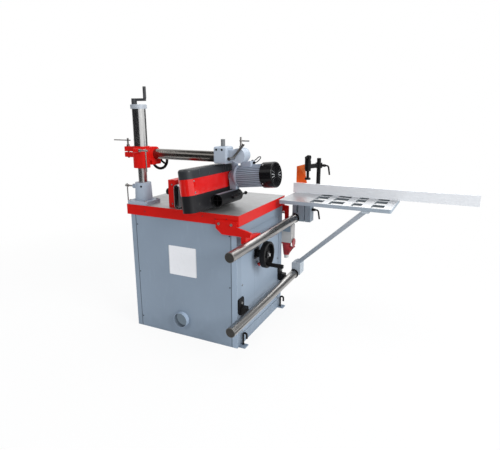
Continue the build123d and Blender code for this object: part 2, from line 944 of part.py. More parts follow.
# Handwheel: a dished wheel with a hub, the lift shaft with its pinion, and a fixed grip
wheel_end = handwheel_x + handwheel_depth
wheel = rod("X", handwheel_x, wheel_end, handwheel_y, handwheel_z, handwheel_radius)
wheel = fillet(wheel.edges().filter_by(GeomType.CIRCLE), handwheel_edge)
wheel -= rod("X", handwheel_x + handwheel_web, wheel_end + reach, handwheel_y, handwheel_z,
             handwheel_radius - handwheel_rim)
wheel += rod("X", handwheel_x, wheel_end - handwheel_hub_sink, handwheel_y, handwheel_z, handwheel_hub)
grip = rod("X", handwheel_x + handwheel_web / 2, handwheel_x + handwheel_web + grip_length, handwheel_y,
           handwheel_z - grip_orbit, grip_radius)
wheel += fillet(grip.edges().group_by(Axis.X)[-1], grip_edge)
pinion_start = spindle_x - lift_rack_width / 2
wheel += rod("X", pinion_start, handwheel_x + reach, handwheel_y, handwheel_z, lift_shaft_radius)
pinion = spur_teeth(lift_module, lift_teeth, lift_rack_width)
wheel += Location(Plane((spindle_x, handwheel_y, handwheel_z), x_dir=(0, 0, -1), z_dir=(1, 0, 0))) * pinion
save("handwheel", wheel)

# Fence hood: a sheet box with an open bottom and a window for the cutter
hood_right = fence_face_x - profile_width - slip_gap
hood_left = hood_right - hood_width
hood_low = table_height + slip_gap
hood = rounded(block(hood_left, hood_right, -hood_length / 2, hood_length / 2, hood_low,
                     table_height + hood_height), "Y", hood_edge)
hood -= block(hood_left + hood_sheet, hood_right - hood_sheet, -hood_length / 2 + hood_sheet,
              hood_length / 2 - hood_sheet, hood_low - reach, table_height + hood_height - hood_sheet)
hood -= block(hood_right - hood_sheet - reach, hood_right + reach, -hood_window / 2, hood_window / 2,
              hood_low - reach, table_height + hood_window_top)
hood -= rod("X", hood_left - reach, hood_left + hood_sheet + reach, knob_y, knob_z, knob_screw + running_gap)
save("fence_hood", hood)

# Fence profiles: hollow bevelled extrusions each side of the cutter
low = table_height + slip_gap
high = table_height + profile_height
left = fence_face_x - profile_width


def bevelled(inset):
    """The profile's outline with cut corners, taken in by inset."""
    a, b = left + inset, fence_face_x - inset
    c, d = low + inset, high - inset
    cut = profile_bevel - 0.41 * inset
    return [(a + cut, c), (b - cut, c), (b, c + cut), (b, d - cut), (b - cut, d), (a + cut, d), (a, d - cut),
            (a, c + cut)]


profiles = []
for end in (-1, 1):
    near = end * cutter_gap / 2
    far = end * (cutter_gap / 2 + profile_length)
    y0, y1 = min(near, far), max(near, far)
    profiles.append(prism_xz(bevelled(0), y0, y1) - prism_xz(bevelled(profile_wall), y0 - reach, y1 + reach))
save("fence_profiles", Compound(children=profiles))

# Fence knob on the back of the hood
knob = rod("X", hood_left - knob_length, hood_left - slip_gap, knob_y, knob_z, knob_radius)
knob = fillet(knob.edges().group_by(Axis.X)[0], knob_edge)
for number in range(knob_flutes):
    angle = 2 * math.pi / knob_flutes * number
    knob -= rod("X", hood_left - knob_length - reach, hood_left - knob_skirt,
                knob_y + knob_flute_orbit * math.cos(angle), knob_z + knob_flute_orbit * math.sin(angle),
                knob_flute)
knob += rod("X", hood_left - knob_skirt, hood_left + knob_screw_length, knob_y, knob_z, knob_screw)
save("fence_knob", knob)

# Two ground guide bars
bars = []
for height in (bar_low, bar_high):
    one = rod("Y", -bar_length / 2, bar_length / 2, bar_x, height, bar_radius)
    bars.append(chamfer(one.edges().filter_by(GeomType.CIRCLE), bar_chamfer))
save("guide_bars", Compound(children=bars))
high_bore = rod("Y", -bar_length, bar_length, bar_x, bar_high, bar_radius + seat_gap)
low_bore = rod("Y", -bar_length, bar_length, bar_x, bar_low, bar_radius + seat_gap)

# Red brackets: the front one reaches over the upper bar, the rear one holds it from the side
plate_face = table_front - bracket_plate
front = prism_xz([(bracket_left, bracket_top), (bracket_left, table_height - bracket_cut_drop),
                  (bracket_left + bracket_cut, bracket_low), (bracket_tail, bracket_low),
                  (bracket_tail + bracket_tail_lean, table_height - bracket_tail_drop),
                  (table_right - bracket_arm_inset, table_height - bracket_arm_drop),
                  (table_right - bracket_ear_inset, bracket_top)], plate_face, table_front)
foot_x = bar_x - bracket_foot_left
saddle_top = bar_high + saddle_half
foot = make_face(Polyline([(foot_x, plate_face, saddle_top),
                           (foot_x, plate_face, bar_high + bracket_foot_rise),
                           (foot_x, plate_face + bracket_foot_depth, bar_high + bracket_foot_tip),
                           (foot_x, plate_face + bracket_foot_depth, saddle_top)], close=True))
front += extrude(foot, bracket_foot, dir=(1, 0, 0))
front -= high_bore
leg_right = bar_x - bar_radius * math.cos(math.asin(saddle_half / bar_radius))
rear_low = table_height - rear_low_drop
rear_arm = table_height - rear_arm_drop
rear = prism_xz([(rear_bracket_left, bracket_top), (rear_bracket_left, rear_low),
                 (leg_right - bracket_leg, rear_low), (leg_right - bracket_leg, bar_high - saddle_half),
                 (leg_right, bar_high - saddle_half), (leg_right, rear_arm),
                 (table_right - bracket_ear_inset, rear_arm + rear_arm_fall),
                 (table_right - rear_ear_inset, bracket_top)], table_back, table_back + bracket_plate)
rear -= high_bore
for hole in bolt_holes:
    front -= hole
    rear -= hole
save("upper_bar_brackets", Compound(children=[front, rear]))

# Black brackets of the lower bar: a wall plate and an arm with a saddle
low_brackets = []
for y in (low_front_y, low_rear_y):
    piece = block(wall_right, wall_right + low_plate_thick, y - low_plate_width / 2, y + low_plate_width / 2,
                  bar_low - low_plate_below, bar_low + low_plate_above)
    piece = rounded(piece, "X", low_plate_edge)
    piece += block(wall_right, leg_right, y - low_arm_width / 2, y + low_arm_width / 2,
                   bar_low - low_arm_below, bar_low + low_arm_above)
    piece -= low_bore
    for hole in bolt_holes:
        piece -= hole
    low_brackets.append(piece)
save("lower_bar_brackets", Compound(children=low_brackets))
save("frame_bolts", Compound(children=[bolt(place) for place in bolt_planes]))

# Sliding plate with its rows of slots and the holes for the hold-down
slide = rounded(block(plate_left, plate_right, plate_front, plate_back, slide_under, table_height), "Z",
                plate_corner)
slide -= block(web_left, web_right, web_front, web_back, slide_under - reach, table_height - plate_web)
slide += block(strut_high_x - strut_pad / 2, strut_high_x + strut_pad / 2, web_front - reach,
               strut_high_y + strut_pad / 2, slide_under, table_height - plate_web + reach)
for column, slot_length in enumerate(slot_lengths):
    for row in range(slot_rows):
        window = Box(slot_length, slot_width, 3 * plate_thick)
        window = rounded(window, "Z", slot_corner)
        window_place = Pos(slot_first_x + slot_step_x * column, slot_first_y + slot_step_y * row,
                           table_height)
        slide -= window_place * window
slide -= rod("Z", slide_under - reach, table_height + reach, post_x, post_y, post_radius + running_gap)
save("sliding_plate", slide)

# Carriage: a lug over the bar and a block beside it, with a clamping slit and a low outer cheek
front_y = carriage_y - carriage_length / 2
back_y = carriage_y + carriage_length / 2
roof = slide_under - carriage_roof
slit_left = carriage_slit_x - carriage_slit / 2
slit_right = carriage_slit_x + carriage_slit / 2
carriage = block(carriage_left, carriage_right, front_y, back_y, carriage_low, slide_under)
carriage -= block(carriage_left + carriage_lug, carriage_left + carriage_lug + carriage_gap, front_y - reach,
                  back_y + reach, bar_high + bar_radius + carriage_gap_rise, roof)
step_high = slide_under - carriage_step_roof
step_low = step_high - carriage_step
carriage -= block(slit_left, slit_right, front_y - reach, back_y + reach, carriage_low - reach,
                  step_low - carriage_bridge)
carriage -= block(slit_left, carriage_right + reach, front_y - reach, back_y + reach, step_low, step_high)
carriage -= rod("Y", front_y - reach, back_y + reach, bar_x, bar_high, bar_radius + running_gap)
carriage -= block(carriage_left - reach, bar_x + carriage_cheek, front_y - reach, back_y + reach,
                  carriage_low - reach, bar_high)
carriage -= block(carriage_left - reach, bar_x, front_y - reach, back_y + reach, bar_high - reach,
                  bar_high + saddle_half + saddle_room)
carriage -= rod("X", slit_left - carriage_lever_screw, carriage_right + reach, carriage_y, carriage_lever_z,
                ratchet_screw + running_gap)
save("slide_carriage", carriage)
save("carriage_lever", ratchet_lever(carriage_right + slip_gap, carriage_y, carriage_lever_z,
                                     carriage_lever_screw))

# Shoe on the lower bar: wraps it like the carriage and carries the strut's lower pad
shoe_front = shoe_y - shoe_length / 2
shoe_back = shoe_y + shoe_length / 2
shoe = block(shoe_left, shoe_right, shoe_front, shoe_back, shoe_low, shoe_high)
shoe = rounded(shoe, "Y", shoe_edge)
shoe -= rod("Y", shoe_front - reach, shoe_back + reach, bar_x, bar_low, bar_radius + running_gap)
shoe -= block(shoe_left - reach, bar_x, shoe_front - reach, shoe_back + reach,
              bar_low - saddle_half - saddle_room, bar_low + saddle_half + saddle_room)
save("strut_shoe", shoe)

# Strut: a square tube between two pads, from the shoe to the underside of the plate
strut_start = Vector(strut_low_x, shoe_y, shoe_high)
strut_end = Vector(strut_high_x, strut_high_y, slide_under)
strut_line = strut_end - strut_start
strut_plane = Plane(strut_start, z_dir=strut_line)
section = Rectangle(strut_width, strut_width)
bore = Rectangle(strut_width - 2 * strut_wall, strut_width - 2 * strut_wall)
strut = strut_plane * (Pos(0, 0, -strut_width) * extrude(section - bore, strut_line.length + 2 * strut_width))
half_pad = strut_pad / 2
for spot, low in ((strut_start, shoe_high), (strut_end, slide_under - strut_pad_thick)):
    strut += block(spot.X - half_pad, spot.X + half_pad, spot.Y - half_pad, spot.Y + half_pad, low,
                   low + strut_pad_thick)
strut &= block(shoe_left, plate_right, plate_front, plate_back, shoe_high, slide_under)
save("support_strut", strut)

# Cross fence: a hollow extrusion standing on the plate
fence_back = cross_fence_front + cross_fence_depth
cross = block(cross_fence_left, cross_fence_right, cross_fence_front, fence_back, table_height,
              table_height + cross_fence_height)
cross -= block(cross_fence_left - reach, cross_fence_right + reach, cross_fence_front + cross_fence_wall,
               fence_back - cross_fence_wall, table_height + cross_fence_wall,
               table_height + cross_fence_height - cross_fence_wall)
save("cross_fence", cross)

# Orange hand guard behind the fence
guard = prism_xz([(guard_left, guard_low), (guard_right + guard_slope, guard_low),
                  (guard_right, guard_top - guard_shoulder), (guard_right - guard_lean, guard_top),
                  (guard_left, guard_top - guard_fall)],
                 fence_back, fence_back + guard_thick)
save("guard_plate", guard)

# Hold-down: post, arm, ratchet lever, plunger with pad, and cam lever
post = rod("Z", slide_under, post_top, post_x, post_y, post_radius)
post += rod("Z", table_height + slip_gap, table_height + slip_gap + post_flange_height, post_x, post_y,
            post_flange)
post = chamfer(post.edges().group_by(Axis.Z)[-1], post_edge)
save("clamp_post", post)

span = math.hypot(clamp_x - post_x, clamp_y - post_y)
heading = math.degrees(math.atan2(clamp_y - post_y, clamp_x - post_x))
arm_low = clamp_arm_z - clamp_arm_height / 2
arm_high = clamp_arm_z + clamp_arm_height / 2
cam_z = clamp_body_high + cam_height
beam = Pos(span / 2, 0, clamp_arm_z) * Box(span, clamp_arm_width, clamp_arm_height)
beam = Location((post_x, post_y, 0), (0, 0, heading)) * beam
holder = beam + rod("Z", arm_low - clamp_collar_more, arm_high + clamp_collar_more, post_x, post_y,
                    clamp_collar)
holder += rod("Z", clamp_body_low, clamp_body_high, clamp_x, clamp_y, clamp_body_radius)
for side in (-1, 1):
    ear = Pos(0, side * (cam_width / 2 + slip_gap + cam_ear / 2),
              clamp_body_high - cam_ear_sink + cam_ear_height / 2)
    ear = ear * Box(cam_ear_width, cam_ear, cam_ear_height)
    holder += Location((clamp_x, clamp_y, 0), (0, 0, heading)) * ear
holder -= rod("Z", arm_low - clamp_collar, arm_high + clamp_collar, post_x, post_y, post_radius + running_gap)
holder -= rod("Z", clamp_body_low - reach, clamp_body_high + reach, clamp_x, clamp_y, clamp_rod + running_gap)
cam_axis = Location((clamp_x, clamp_y, cam_z), (0, 0, heading)) * Rotation(90, 0, 0)
holder -= cam_axis * Cylinder(cam_pin + running_gap, 4 * cam_width)
holder -= rod("X", post_x, post_x + 2 * clamp_collar, post_y, clamp_arm_z, ratchet_screw + running_gap)
save("clamp_arm", holder)
save("clamp_lever", ratchet_lever(post_x + clamp_collar + slip_gap, post_y, clamp_arm_z,
                                  clamp_collar - post_radius - clamp_lever_play))

plunger_top = cam_z - cam_radius - cam_start_gap
plunger = rod("Z", clamp_pad_z + clamp_pad - reach, plunger_top, clamp_x, clamp_y, clamp_rod)
pad = rod("Z", clamp_pad_z, clamp_pad_z + clamp_pad, clamp_x, clamp_y, clamp_pad_radius)
plunger += fillet(pad.edges().group_by(Axis.Z)[-1], clamp_pad_edge)
save("clamp_plunger", plunger)

cam = Pos(-cam_throw, 0, 0) * Cylinder(cam_radius, cam_width)
cam += Cylinder(cam_pin, cam_width + 2 * slip_gap + 2 * cam_ear)
handle_x = cam_radius + cam_throw + cam_handle_out
handle = Rotation(90, 0, 0) * Cylinder(cam_handle_radius, cam_handle_length)
handle = Pos(handle_x, -cam_handle_length / 2, 0) * handle
cam += Pos(handle_x / 2, 0, 0) * Box(handle_x, cam_neck, cam_width - cam_neck_less)
cam += fillet(handle.edges().group_by(Axis.Y)[0], cam_handle_edge)
cam += Pos(handle_x, 0, 0) * Sphere(cam_handle_ball)
save("clamp_cam", cam_axis * cam)

# Switch box on the back wall, open at its hidden left end, with a conduit bent over its top
box_back = half_depth + box_depth
switch = rounded(block(box_left, box_right, half_depth, box_back, box_low, box_high), "X", box_edge)
switch -= block(box_left - reach, box_right - box_sheet, half_depth + box_sheet, box_back - box_sheet,
                box_low + box_sheet, box_high - box_sheet)
conduit_y = half_depth + conduit_from_wall
conduit_end_x = conduit_x - conduit_span
top_z = box_high + conduit_rise
conduit = bent_rod([(conduit_x, conduit_y, box_high - reach), (conduit_x, conduit_y, top_z),
                    (conduit_end_x, conduit_y, top_z), (conduit_end_x, conduit_y, box_high - reach)],
                   conduit_radius, conduit_bend)
switch += conduit
save("switch_box", switch)

# Mains inlet under the switch box: flange, body, cable gland and a round socket that points down to the right
inlet_y = (half_depth + box_back) / 2
inlet = block(inlet_x - inlet_flange / 2, inlet_x + inlet_flange / 2, inlet_y - inlet_flange / 2,
              inlet_y + inlet_flange / 2, box_low - inlet_flange_height, box_low)
inlet = rounded(inlet, "Z", inlet_flange_edge)
inlet_low = box_low - inlet_flange_height - inlet_height
inlet += cone(inlet_low, box_low - inlet_flange_height, inlet_x, inlet_y, inlet_neck, inlet_body)
inlet += rod("Z", inlet_low - inlet_ring, inlet_low, inlet_x, inlet_y, inlet_ring_radius)
socket_z = box_low - inlet_flange_height - socket_drop
lean = math.radians(socket_lean)
socket_way = Vector(math.sin(lean), 0, -math.cos(lean))
socket_up = Vector(math.cos(lean), 0, math.sin(lean))
socket_root = Vector(inlet_x, inlet_y, socket_z)
mouth = socket_root + socket_way * collar_length
collar = Pos(0, 0, collar_length / 2) * Cylinder(collar_radius, collar_length)
inlet += Plane(socket_root, z_dir=socket_way) * collar
socket_bore = Pos(0, 0, -collar_depth / 2) * Cylinder(collar_radius - collar_wall, collar_depth)
lid_space = Pos(0, 0, collar_length / 2) * Cylinder(collar_radius + lid_play, collar_length)
inlet -= Plane(mouth, z_dir=socket_way) * (socket_bore + lid_space)
hinge_up = collar_radius + lid_hinge + lid_play
hinge = mouth + socket_up * hinge_up + socket_way * (lid_thick / 2 + lid_play)
pin_reach = lid_ear + lid_pin
ears = rod("Y", inlet_y - pin_reach, inlet_y + pin_reach, hinge.X, hinge.Z, lid_hinge + lid_eye)
web = Box(lid_root + lid_hinge + lid_play + lid_eye, 2 * pin_reach, lid_web)
web = Pos((collar_radius - lid_root + hinge_up + lid_eye) / 2, 0, -lid_web / 2) * web
ears += Plane(mouth, x_dir=socket_up, z_dir=socket_way) * web
lid_room = lid_ear + slip_gap
ears -= block(mouth.X - 2 * collar_radius, mouth.X + 2 * collar_radius, inlet_y - lid_room,
              inlet_y + lid_room, mouth.Z - 2 * collar_radius, mouth.Z + 2 * collar_radius)
inlet += ears
inlet -= rod("Y", inlet_y - pin_reach - reach, inlet_y + pin_reach + reach, hinge.X, hinge.Z,
             lid_hinge + running_gap)
save("power_inlet", inlet)

# Lid of the inlet, standing open above its hinge pin
lid = rod("X", hinge.X - lid_thick / 2, hinge.X + lid_thick / 2, inlet_y, hinge.Z + collar_radius + lid_rise,
          collar_radius)
lid += block(hinge.X - lid_thick / 2, hinge.X + lid_thick / 2, inlet_y - lid_ear, inlet_y + lid_ear, hinge.Z,
             hinge.Z + lid_neck)
lid += rod("Y", inlet_y - pin_reach, inlet_y + pin_reach, hinge.X, hinge.Z, lid_hinge)
save("inlet_lid", lid)

# Feeder stand: base casting, T-handle, post with its nut, and the telescoping tube
base_top = table_height + base_height
plate_top = table_height + base_plate_thick
base = rounded(block(stand_x - base_plate / 2, stand_x + base_plate / 2, stand_y - base_plate / 2,
                     stand_y + base_plate / 2, table_height, plate_top), "Z", base_plate_corner)
base += cone(plate_top, base_top, stand_x, stand_y, base_foot_radius, base_neck_radius)
lug_z = base_top - base_lug_drop
lug_end = stand_x - base_neck_radius - base_lug_out
base += rod("X", lug_end, stand_x, stand_y, lug_z, base_lug_radius)
base -= rod("Z", table_height + base_floor, base_top + reach, stand_x, stand_y,
            post_tube_radius + running_gap)
base -= rod("X", lug_end - reach, stand_x, stand_y, lug_z, tee_screw + running_gap)
plug = rod("Y", -2 * base_neck_radius, -base_neck_radius + base_plug, 0, lug_z + base_plug_rise, base_plug)
base -= Pos(stand_x, stand_y, 0) * Rotation(0, 0, base_plug_turn) * plug
for hole in bolt_holes:
    base -= hole
save("stand_base", base)

tee_x = stand_x - base_tee_out
tee = rod("X", tee_x, stand_x - post_tube_radius - tee_end, stand_y, lug_z, tee_screw)
tee += rod("X", tee_x, tee_x + tee_head, stand_y, lug_z, tee_screw + tee_head_more)
tee_bar_high = lug_z + base_tee_bar_top
tee += rod("Z", tee_bar_high - base_tee_bar_length, tee_bar_high, tee_x + tee_head / 2, stand_y, tee_bar)
save("base_lever", tee)

post_low = table_height + base_floor + slip_gap
column = rod("Z", post_low, post_tube_top, stand_x, stand_y, post_tube_radius)
groove_floor = screw_offset - screw_radius - screw_groove_play
groove = block(stand_x - screw_offset - 2 * screw_groove, stand_x - groove_floor, stand_y - screw_groove / 2,
               stand_y + screw_groove / 2, base_top + screw_groove_start, post_tube_top - nut_height)
column -= groove
nut_reach = tube_radius - tube_wall - slip_gap
nut = block(stand_x - 2 * tube_radius, stand_x, stand_y - screw_groove / 2, stand_y + screw_groove / 2,
            post_tube_top - nut_height, post_tube_top)
nut = nut & rod("Z", post_tube_top - nut_height, post_tube_top, stand_x, stand_y, nut_reach)
column += nut
screw_x = stand_x - screw_offset
column -= rod("Z", post_tube_top - nut_height - reach, post_tube_top + reach, screw_x, stand_y,
              screw_radius + running_gap)
save("stand_post", column)

sleeve_tube = rod("Z", tube_low, tube_high, stand_x, stand_y, tube_radius)
sleeve_tube -= rod("Z", tube_low - reach, tube_high + reach, stand_x, stand_y, tube_radius - tube_wall)
save("stand_tube", sleeve_tube)

cap_top = tube_high + cap_height
cap = rod("Z", tube_high, cap_top, stand_x, stand_y, cap_radius)
cap = fillet(cap.edges().group_by(Axis.Z)[-1], cap_edge)
cap -= rod("Z", tube_high - reach, cap_top + reach, screw_x, stand_y, screw_radius + running_gap)
save("stand_cap", cap)

hub_low = cap_top + slip_gap
hub_high = hub_low + crank_hub_height
crank = rod("Z", hub_low, hub_high, screw_x, stand_y, crank_hub_radius)
crank += block(screw_x, screw_x + crank_throw, stand_y - crank_arm_width / 2, stand_y + crank_arm_width / 2,
               hub_high - crank_arm_height, hub_high)
crank += rod("Z", hub_high - crank_arm_height, hub_high, screw_x + crank_throw, stand_y, crank_arm_width / 2)
grip = rod("Z", hub_high - reach, hub_high + crank_grip_length, screw_x + crank_throw, stand_y,
           crank_grip_radius)
crank += fillet(grip.edges().group_by(Axis.Z)[-1], crank_grip_edge)
crank += rod("Z", screw_low, hub_low + reach, screw_x, stand_y, screw_radius)
save("stand_crank", crank)

# Red cross clamp: sleeve on the stand, sleeve for the overarm, split lugs, lever boss and pinion block
cross_clamp = rod("Z", sleeve_low, sleeve_high, stand_x, stand_y, sleeve_radius)
cross_clamp += rod("X", arm_sleeve_left, arm_sleeve_right, arm_y, arm_z, arm_sleeve_radius)
cross_clamp += block(stand_x - sleeve_radius, arm_sleeve_right, stand_y, arm_y,
                     arm_z - arm_sleeve_radius + sleeve_bridge, arm_z + arm_sleeve_radius)
lugs = block(stand_x - lug_out, stand_x, stand_y - lug_width / 2, stand_y + lug_width / 2, lug_low, lug_high)
lugs = rounded(lugs, "Y", lug_edge)
slit_z = (lug_low + lug_high) / 2
lugs -= block(stand_x - lug_out - reach, stand_x - sleeve_radius - lug_root, stand_y - lug_width,
              stand_y + lug_width, slit_z - lug_slit / 2, slit_z + lug_slit / 2)
cross_clamp += lugs
cross_clamp += rod("X", column_boss_left, column_boss_right, column_lever_y, column_lever_z, column_boss)
cross_clamp += block(column_boss_left, column_boss_right, column_lever_y, stand_y,
                     column_lever_z - column_boss, column_lever_z + column_boss)
block_left = pinion_x - pinion_block / 2
cross_clamp += block(block_left, block_left + pinion_block, arm_y - arm_sleeve_radius,
                     arm_y + arm_sleeve_radius, pinion_block_low, arm_z)
cross_clamp -= rod("Z", tube_low, sleeve_high + reach, stand_x, stand_y, tube_radius + seat_gap)
cross_clamp -= rod("Z", sleeve_low - reach, tube_low + reach, stand_x, stand_y,
                   post_tube_radius + running_gap)
bore_end = max(arm_sleeve_right, block_left + pinion_block) + reach
cross_clamp -= rod("X", arm_sleeve_left - reach, bore_end, arm_y, arm_z, arm_radius + running_gap)
stud_x = stand_x - lug_stud_out
cross_clamp -= rod("Z", lug_low - reach, lug_high + reach, stud_x, stand_y, tee_screw + running_gap)
cross_clamp -= rod("X", column_boss_left - reach, column_boss_right + reach, column_lever_y, column_lever_z,
                   tee_screw + running_gap)
arm_pitch_radius = arm_module * arm_teeth / 2
pinion_z = arm_z - arm_rack_depth - arm_pitch_radius
cross_clamp -= rod("Y", arm_y - 2 * arm_sleeve_radius, arm_y + 2 * arm_sleeve_radius, pinion_x, pinion_z,
                   pinion_shaft + running_gap)
pocket = arm_pitch_radius + 0.8 * arm_module + reach
cross_clamp -= rod("Y", arm_y - pinion_width / 2 - reach, arm_y + pinion_width / 2 + reach, pinion_x,
                   pinion_z, pocket)
cross_clamp -= block(pinion_x - pocket, pinion_x + pocket, arm_y - pinion_width / 2 - reach,
                     arm_y + pinion_width / 2 + reach, pinion_z, arm_z)
save("cross_bracket", cross_clamp)

# T-handles of the cross clamp
arm_tee = rod("Z", lug_low - arm_tee_end, lug_high + arm_tee_rise, stud_x, stand_y, tee_screw)
arm_tee += rod("Z", lug_high + slip_gap, lug_high + arm_tee_collar, stud_x, stand_y,
               tee_screw + arm_tee_collar_more)
bar_z = lug_high + arm_tee_rise - arm_tee_bar_drop
arm_tee += rod("X", stud_x - arm_tee_bar_left, stud_x + arm_tee_bar_right, stand_y, bar_z, tee_bar)
save("arm_lever", arm_tee)

hang = rod("X", column_boss_left - column_lever_end, column_lever_right, column_lever_y, column_lever_z,
           tee_screw)
hang += rod("X", column_boss_right + slip_gap, column_boss_right + column_lever_collar, column_lever_y,
            column_lever_z, tee_screw + arm_tee_collar_more)
hang_top = column_lever_z + column_bar_top
hang += rod("Z", hang_top - column_bar_length, hang_top, column_bar_x, column_lever_y, tee_bar)
save("column_lever", hang)

# Overarm tube with a rack cut along its underside
arm_bar = rod("X", arm_left, arm_right, arm_y, arm_z, arm_radius)
arm_bar -= rod("X", arm_left - reach, arm_right + reach, arm_y, arm_z, arm_radius - arm_wall)
rack_pitch = math.pi * arm_module
pitch_z = arm_z - arm_rack_depth
arm_bar -= block(arm_rack_left, arm_rack_right, arm_y - arm_radius, arm_y + arm_radius,
                 arm_z - arm_radius - reach, pitch_z - 0.8 * arm_module)
gap = rack_gap(arm_module, 2 * arm_radius)
first = math.ceil((arm_rack_left - pinion_x) / rack_pitch)
last = math.floor((arm_rack_right - pinion_x) / rack_pitch)
for number in range(first, last):
    spot = (pinion_x + number * rack_pitch, arm_y, pitch_z)
    arm_bar -= Location(Plane(spot, x_dir=(1, 0, 0), z_dir=(0, -1, 0))) * gap
save("arm_tube", arm_bar)

# Handwheel of the overarm on its pinion shaft
wheel_y = arm_y + arm_sleeve_radius + arm_wheel_gap
ring = Rotation(90, 0, 0) * Torus(arm_wheel_radius, arm_wheel_rim)
ring = Pos(pinion_x, wheel_y + arm_wheel_rim, pinion_z) * ring
ring += rod("Y", wheel_y - arm_wheel_gap / 2, wheel_y + 2 * arm_wheel_rim, pinion_x, pinion_z, arm_wheel_hub)
for number in range(arm_wheel_spokes):
    spoke = Pos(0, 0, arm_wheel_radius / 2) * Box(arm_wheel_spoke, arm_wheel_spoke_thick, arm_wheel_radius)
    turn = Rotation(0, 360.0 / arm_wheel_spokes * number, 0)
    ring += Pos(pinion_x, wheel_y + arm_wheel_rim, pinion_z) * turn * spoke
ring += rod("Y", arm_y - arm_sleeve_radius - pinion_shaft_end, wheel_y, pinion_x, pinion_z, pinion_shaft)
teeth = spur_teeth(arm_module, arm_teeth, pinion_width)
ring += Location(Plane((pinion_x, arm_y, pinion_z), x_dir=(1, 0, 0), z_dir=(0, -1, 0))) * teeth
save("arm_handwheel", ring)

# Knuckle: clamp block on the arm, round boss, and the leaning sleeve for the feeder's pin
sleeve_height = pin_sleeve_high - pin_sleeve_low
sleeve_middle = (pin_sleeve_low + pin_sleeve_high) / 2
pin_spot = (feeder_place * Pos(pin_n, pin_l, sleeve_middle)).position
knuckle_front = arm_y - knuckle_half
knuckle_back = arm_y + knuckle_half
knuckle = block(knuckle_left, knuckle_right, knuckle_front, knuckle_back, knuckle_low, knuckle_high)
knuckle = fillet(knuckle.edges(), knuckle_edge)
knuckle += rod("Z", knuckle_high - knuckle_edge, stub_top, stub_x, arm_y, stub_radius)
knuckle += rod("Y", disc_front, disc_back, disc_x, disc_z, disc_radius)
knuckle += block(knuckle_right - 2 * knuckle_edge, disc_x, disc_front, disc_back,
                 disc_z - disc_radius + knuckle_edge, disc_z + disc_radius - knuckle_edge)
knuckle += block(pin_spot.X - knuckle_web / 2, pin_spot.X + knuckle_web / 2, knuckle_back - knuckle_edge,
                 pin_spot.Y, knuckle_low + slip_gap, knuckle_low + knuckle_web_height)
knuckle += in_feeder(Pos(pin_n, pin_l, sleeve_middle) * Cylinder(pin_sleeve_radius, sleeve_height))
knuckle -= in_feeder(Pos(pin_n, pin_l, sleeve_middle) * Cylinder(pin_radius + running_gap, 2 * sleeve_height))
knuckle -= rod("X", knuckle_left - reach, arm_right + reach, arm_y, arm_z, arm_radius + running_gap)
for x in (knuckle_left + knuckle_screw_inset, knuckle_left + knuckle_screw_inset + knuckle_screw_step):
    knuckle -= rod("Y", knuckle_front - reach, knuckle_front + knuckle_screw_depth, x,
                   knuckle_high - knuckle_screw_drop, knuckle_screw)
knuckle -= rod("Y", disc_front - reach, disc_front + lever_hole, knuckle_lever_x, knuckle_lever_z,
               tee_screw + running_gap)
boss_top = disc_z + disc_radius
knuckle -= rod("Z", boss_top - lever_hole - tee_screw, boss_top + reach, disc_x, tilt_lever_y,
               tee_screw + running_gap)
save("knuckle", knuckle)

swing = rod("Y", disc_front - knuckle_lever_length, disc_front - slip_gap, knuckle_lever_x, knuckle_lever_z,
            knuckle_lever_hub)
swing += rod("Y", disc_front - reach, disc_front + lever_hole - reach, knuckle_lever_x, knuckle_lever_z,
             tee_screw)
stick = Pos(0, 0, knuckle_lever_reach / 2) * Cylinder(knuckle_lever_rod, knuckle_lever_reach)
swing += Location((knuckle_lever_x, disc_front - knuckle_lever_hub - slip_gap, knuckle_lever_z),
                  (0, knuckle_lever_angle, 0)) * stick
save("knuckle_lever", swing)

tilt = rod("Z", boss_top - lever_hole, boss_top + tilt_lever_rise, disc_x, tilt_lever_y, tee_screw)
tilt += rod("Z", boss_top + slip_gap, boss_top + 2 * tee_screw, disc_x, tilt_lever_y, tee_screw + tee_bar)
tilt += rod("X", disc_x - tilt_bar_left, disc_x + tilt_bar_right, tilt_lever_y,
            boss_top + tilt_lever_rise - tilt_bar_drop, tee_bar)
save("tilt_lever", tilt)


# Power feeder casing: upper cover, red band and open lower cover
def casing_solid(grow, low, high):
    """The casing's rounded outline, grown by a wall and drawn up between two heights."""
    length = casing_far - casing_near
    outline = Rectangle(casing_width + 2 * grow, length + 2 * grow)
    ends = outline.vertices().sort_by(Axis.Y)
    outline = fillet(ends[:2], casing_near_corner + grow)
    ends = outline.vertices().sort_by(Axis.Y)
    outline = fillet(ends[-2:], casing_far_corner + grow)
    return Pos(0, (casing_near + casing_far) / 2, low) * extrude(outline, high - low)


upper = casing_solid(0, band_high, casing_top)
upper = fillet(upper.edges().group_by(Axis.Z)[-1], casing_dome)
upper -= casing_solid(-casing_wall, band_high - reach, casing_top - casing_dome)
save("casing_upper", in_feeder(upper))

band = casing_solid(band_proud, band_low, band_high)
band -= casing_solid(band_proud - band_wall, band_low - reach, band_high + reach)
save("casing_band", in_feeder(band))

lower = casing_solid(0, casing_low, band_low)
lower -= casing_solid(-casing_wall, casing_low - reach, band_low - casing_wall)
row_middle = (casing_near + casing_far) / 2
middle_roller = (roller_count - 1) / 2
roller_places = [row_middle + (number - middle_roller) * roller_step for number in range(roller_count)]
for place in roller_places:
    lower -= rod("X", -casing_width, casing_width, place, roller_u, roller_axle + running_gap)
save("casing_lower", in_feeder(lower))

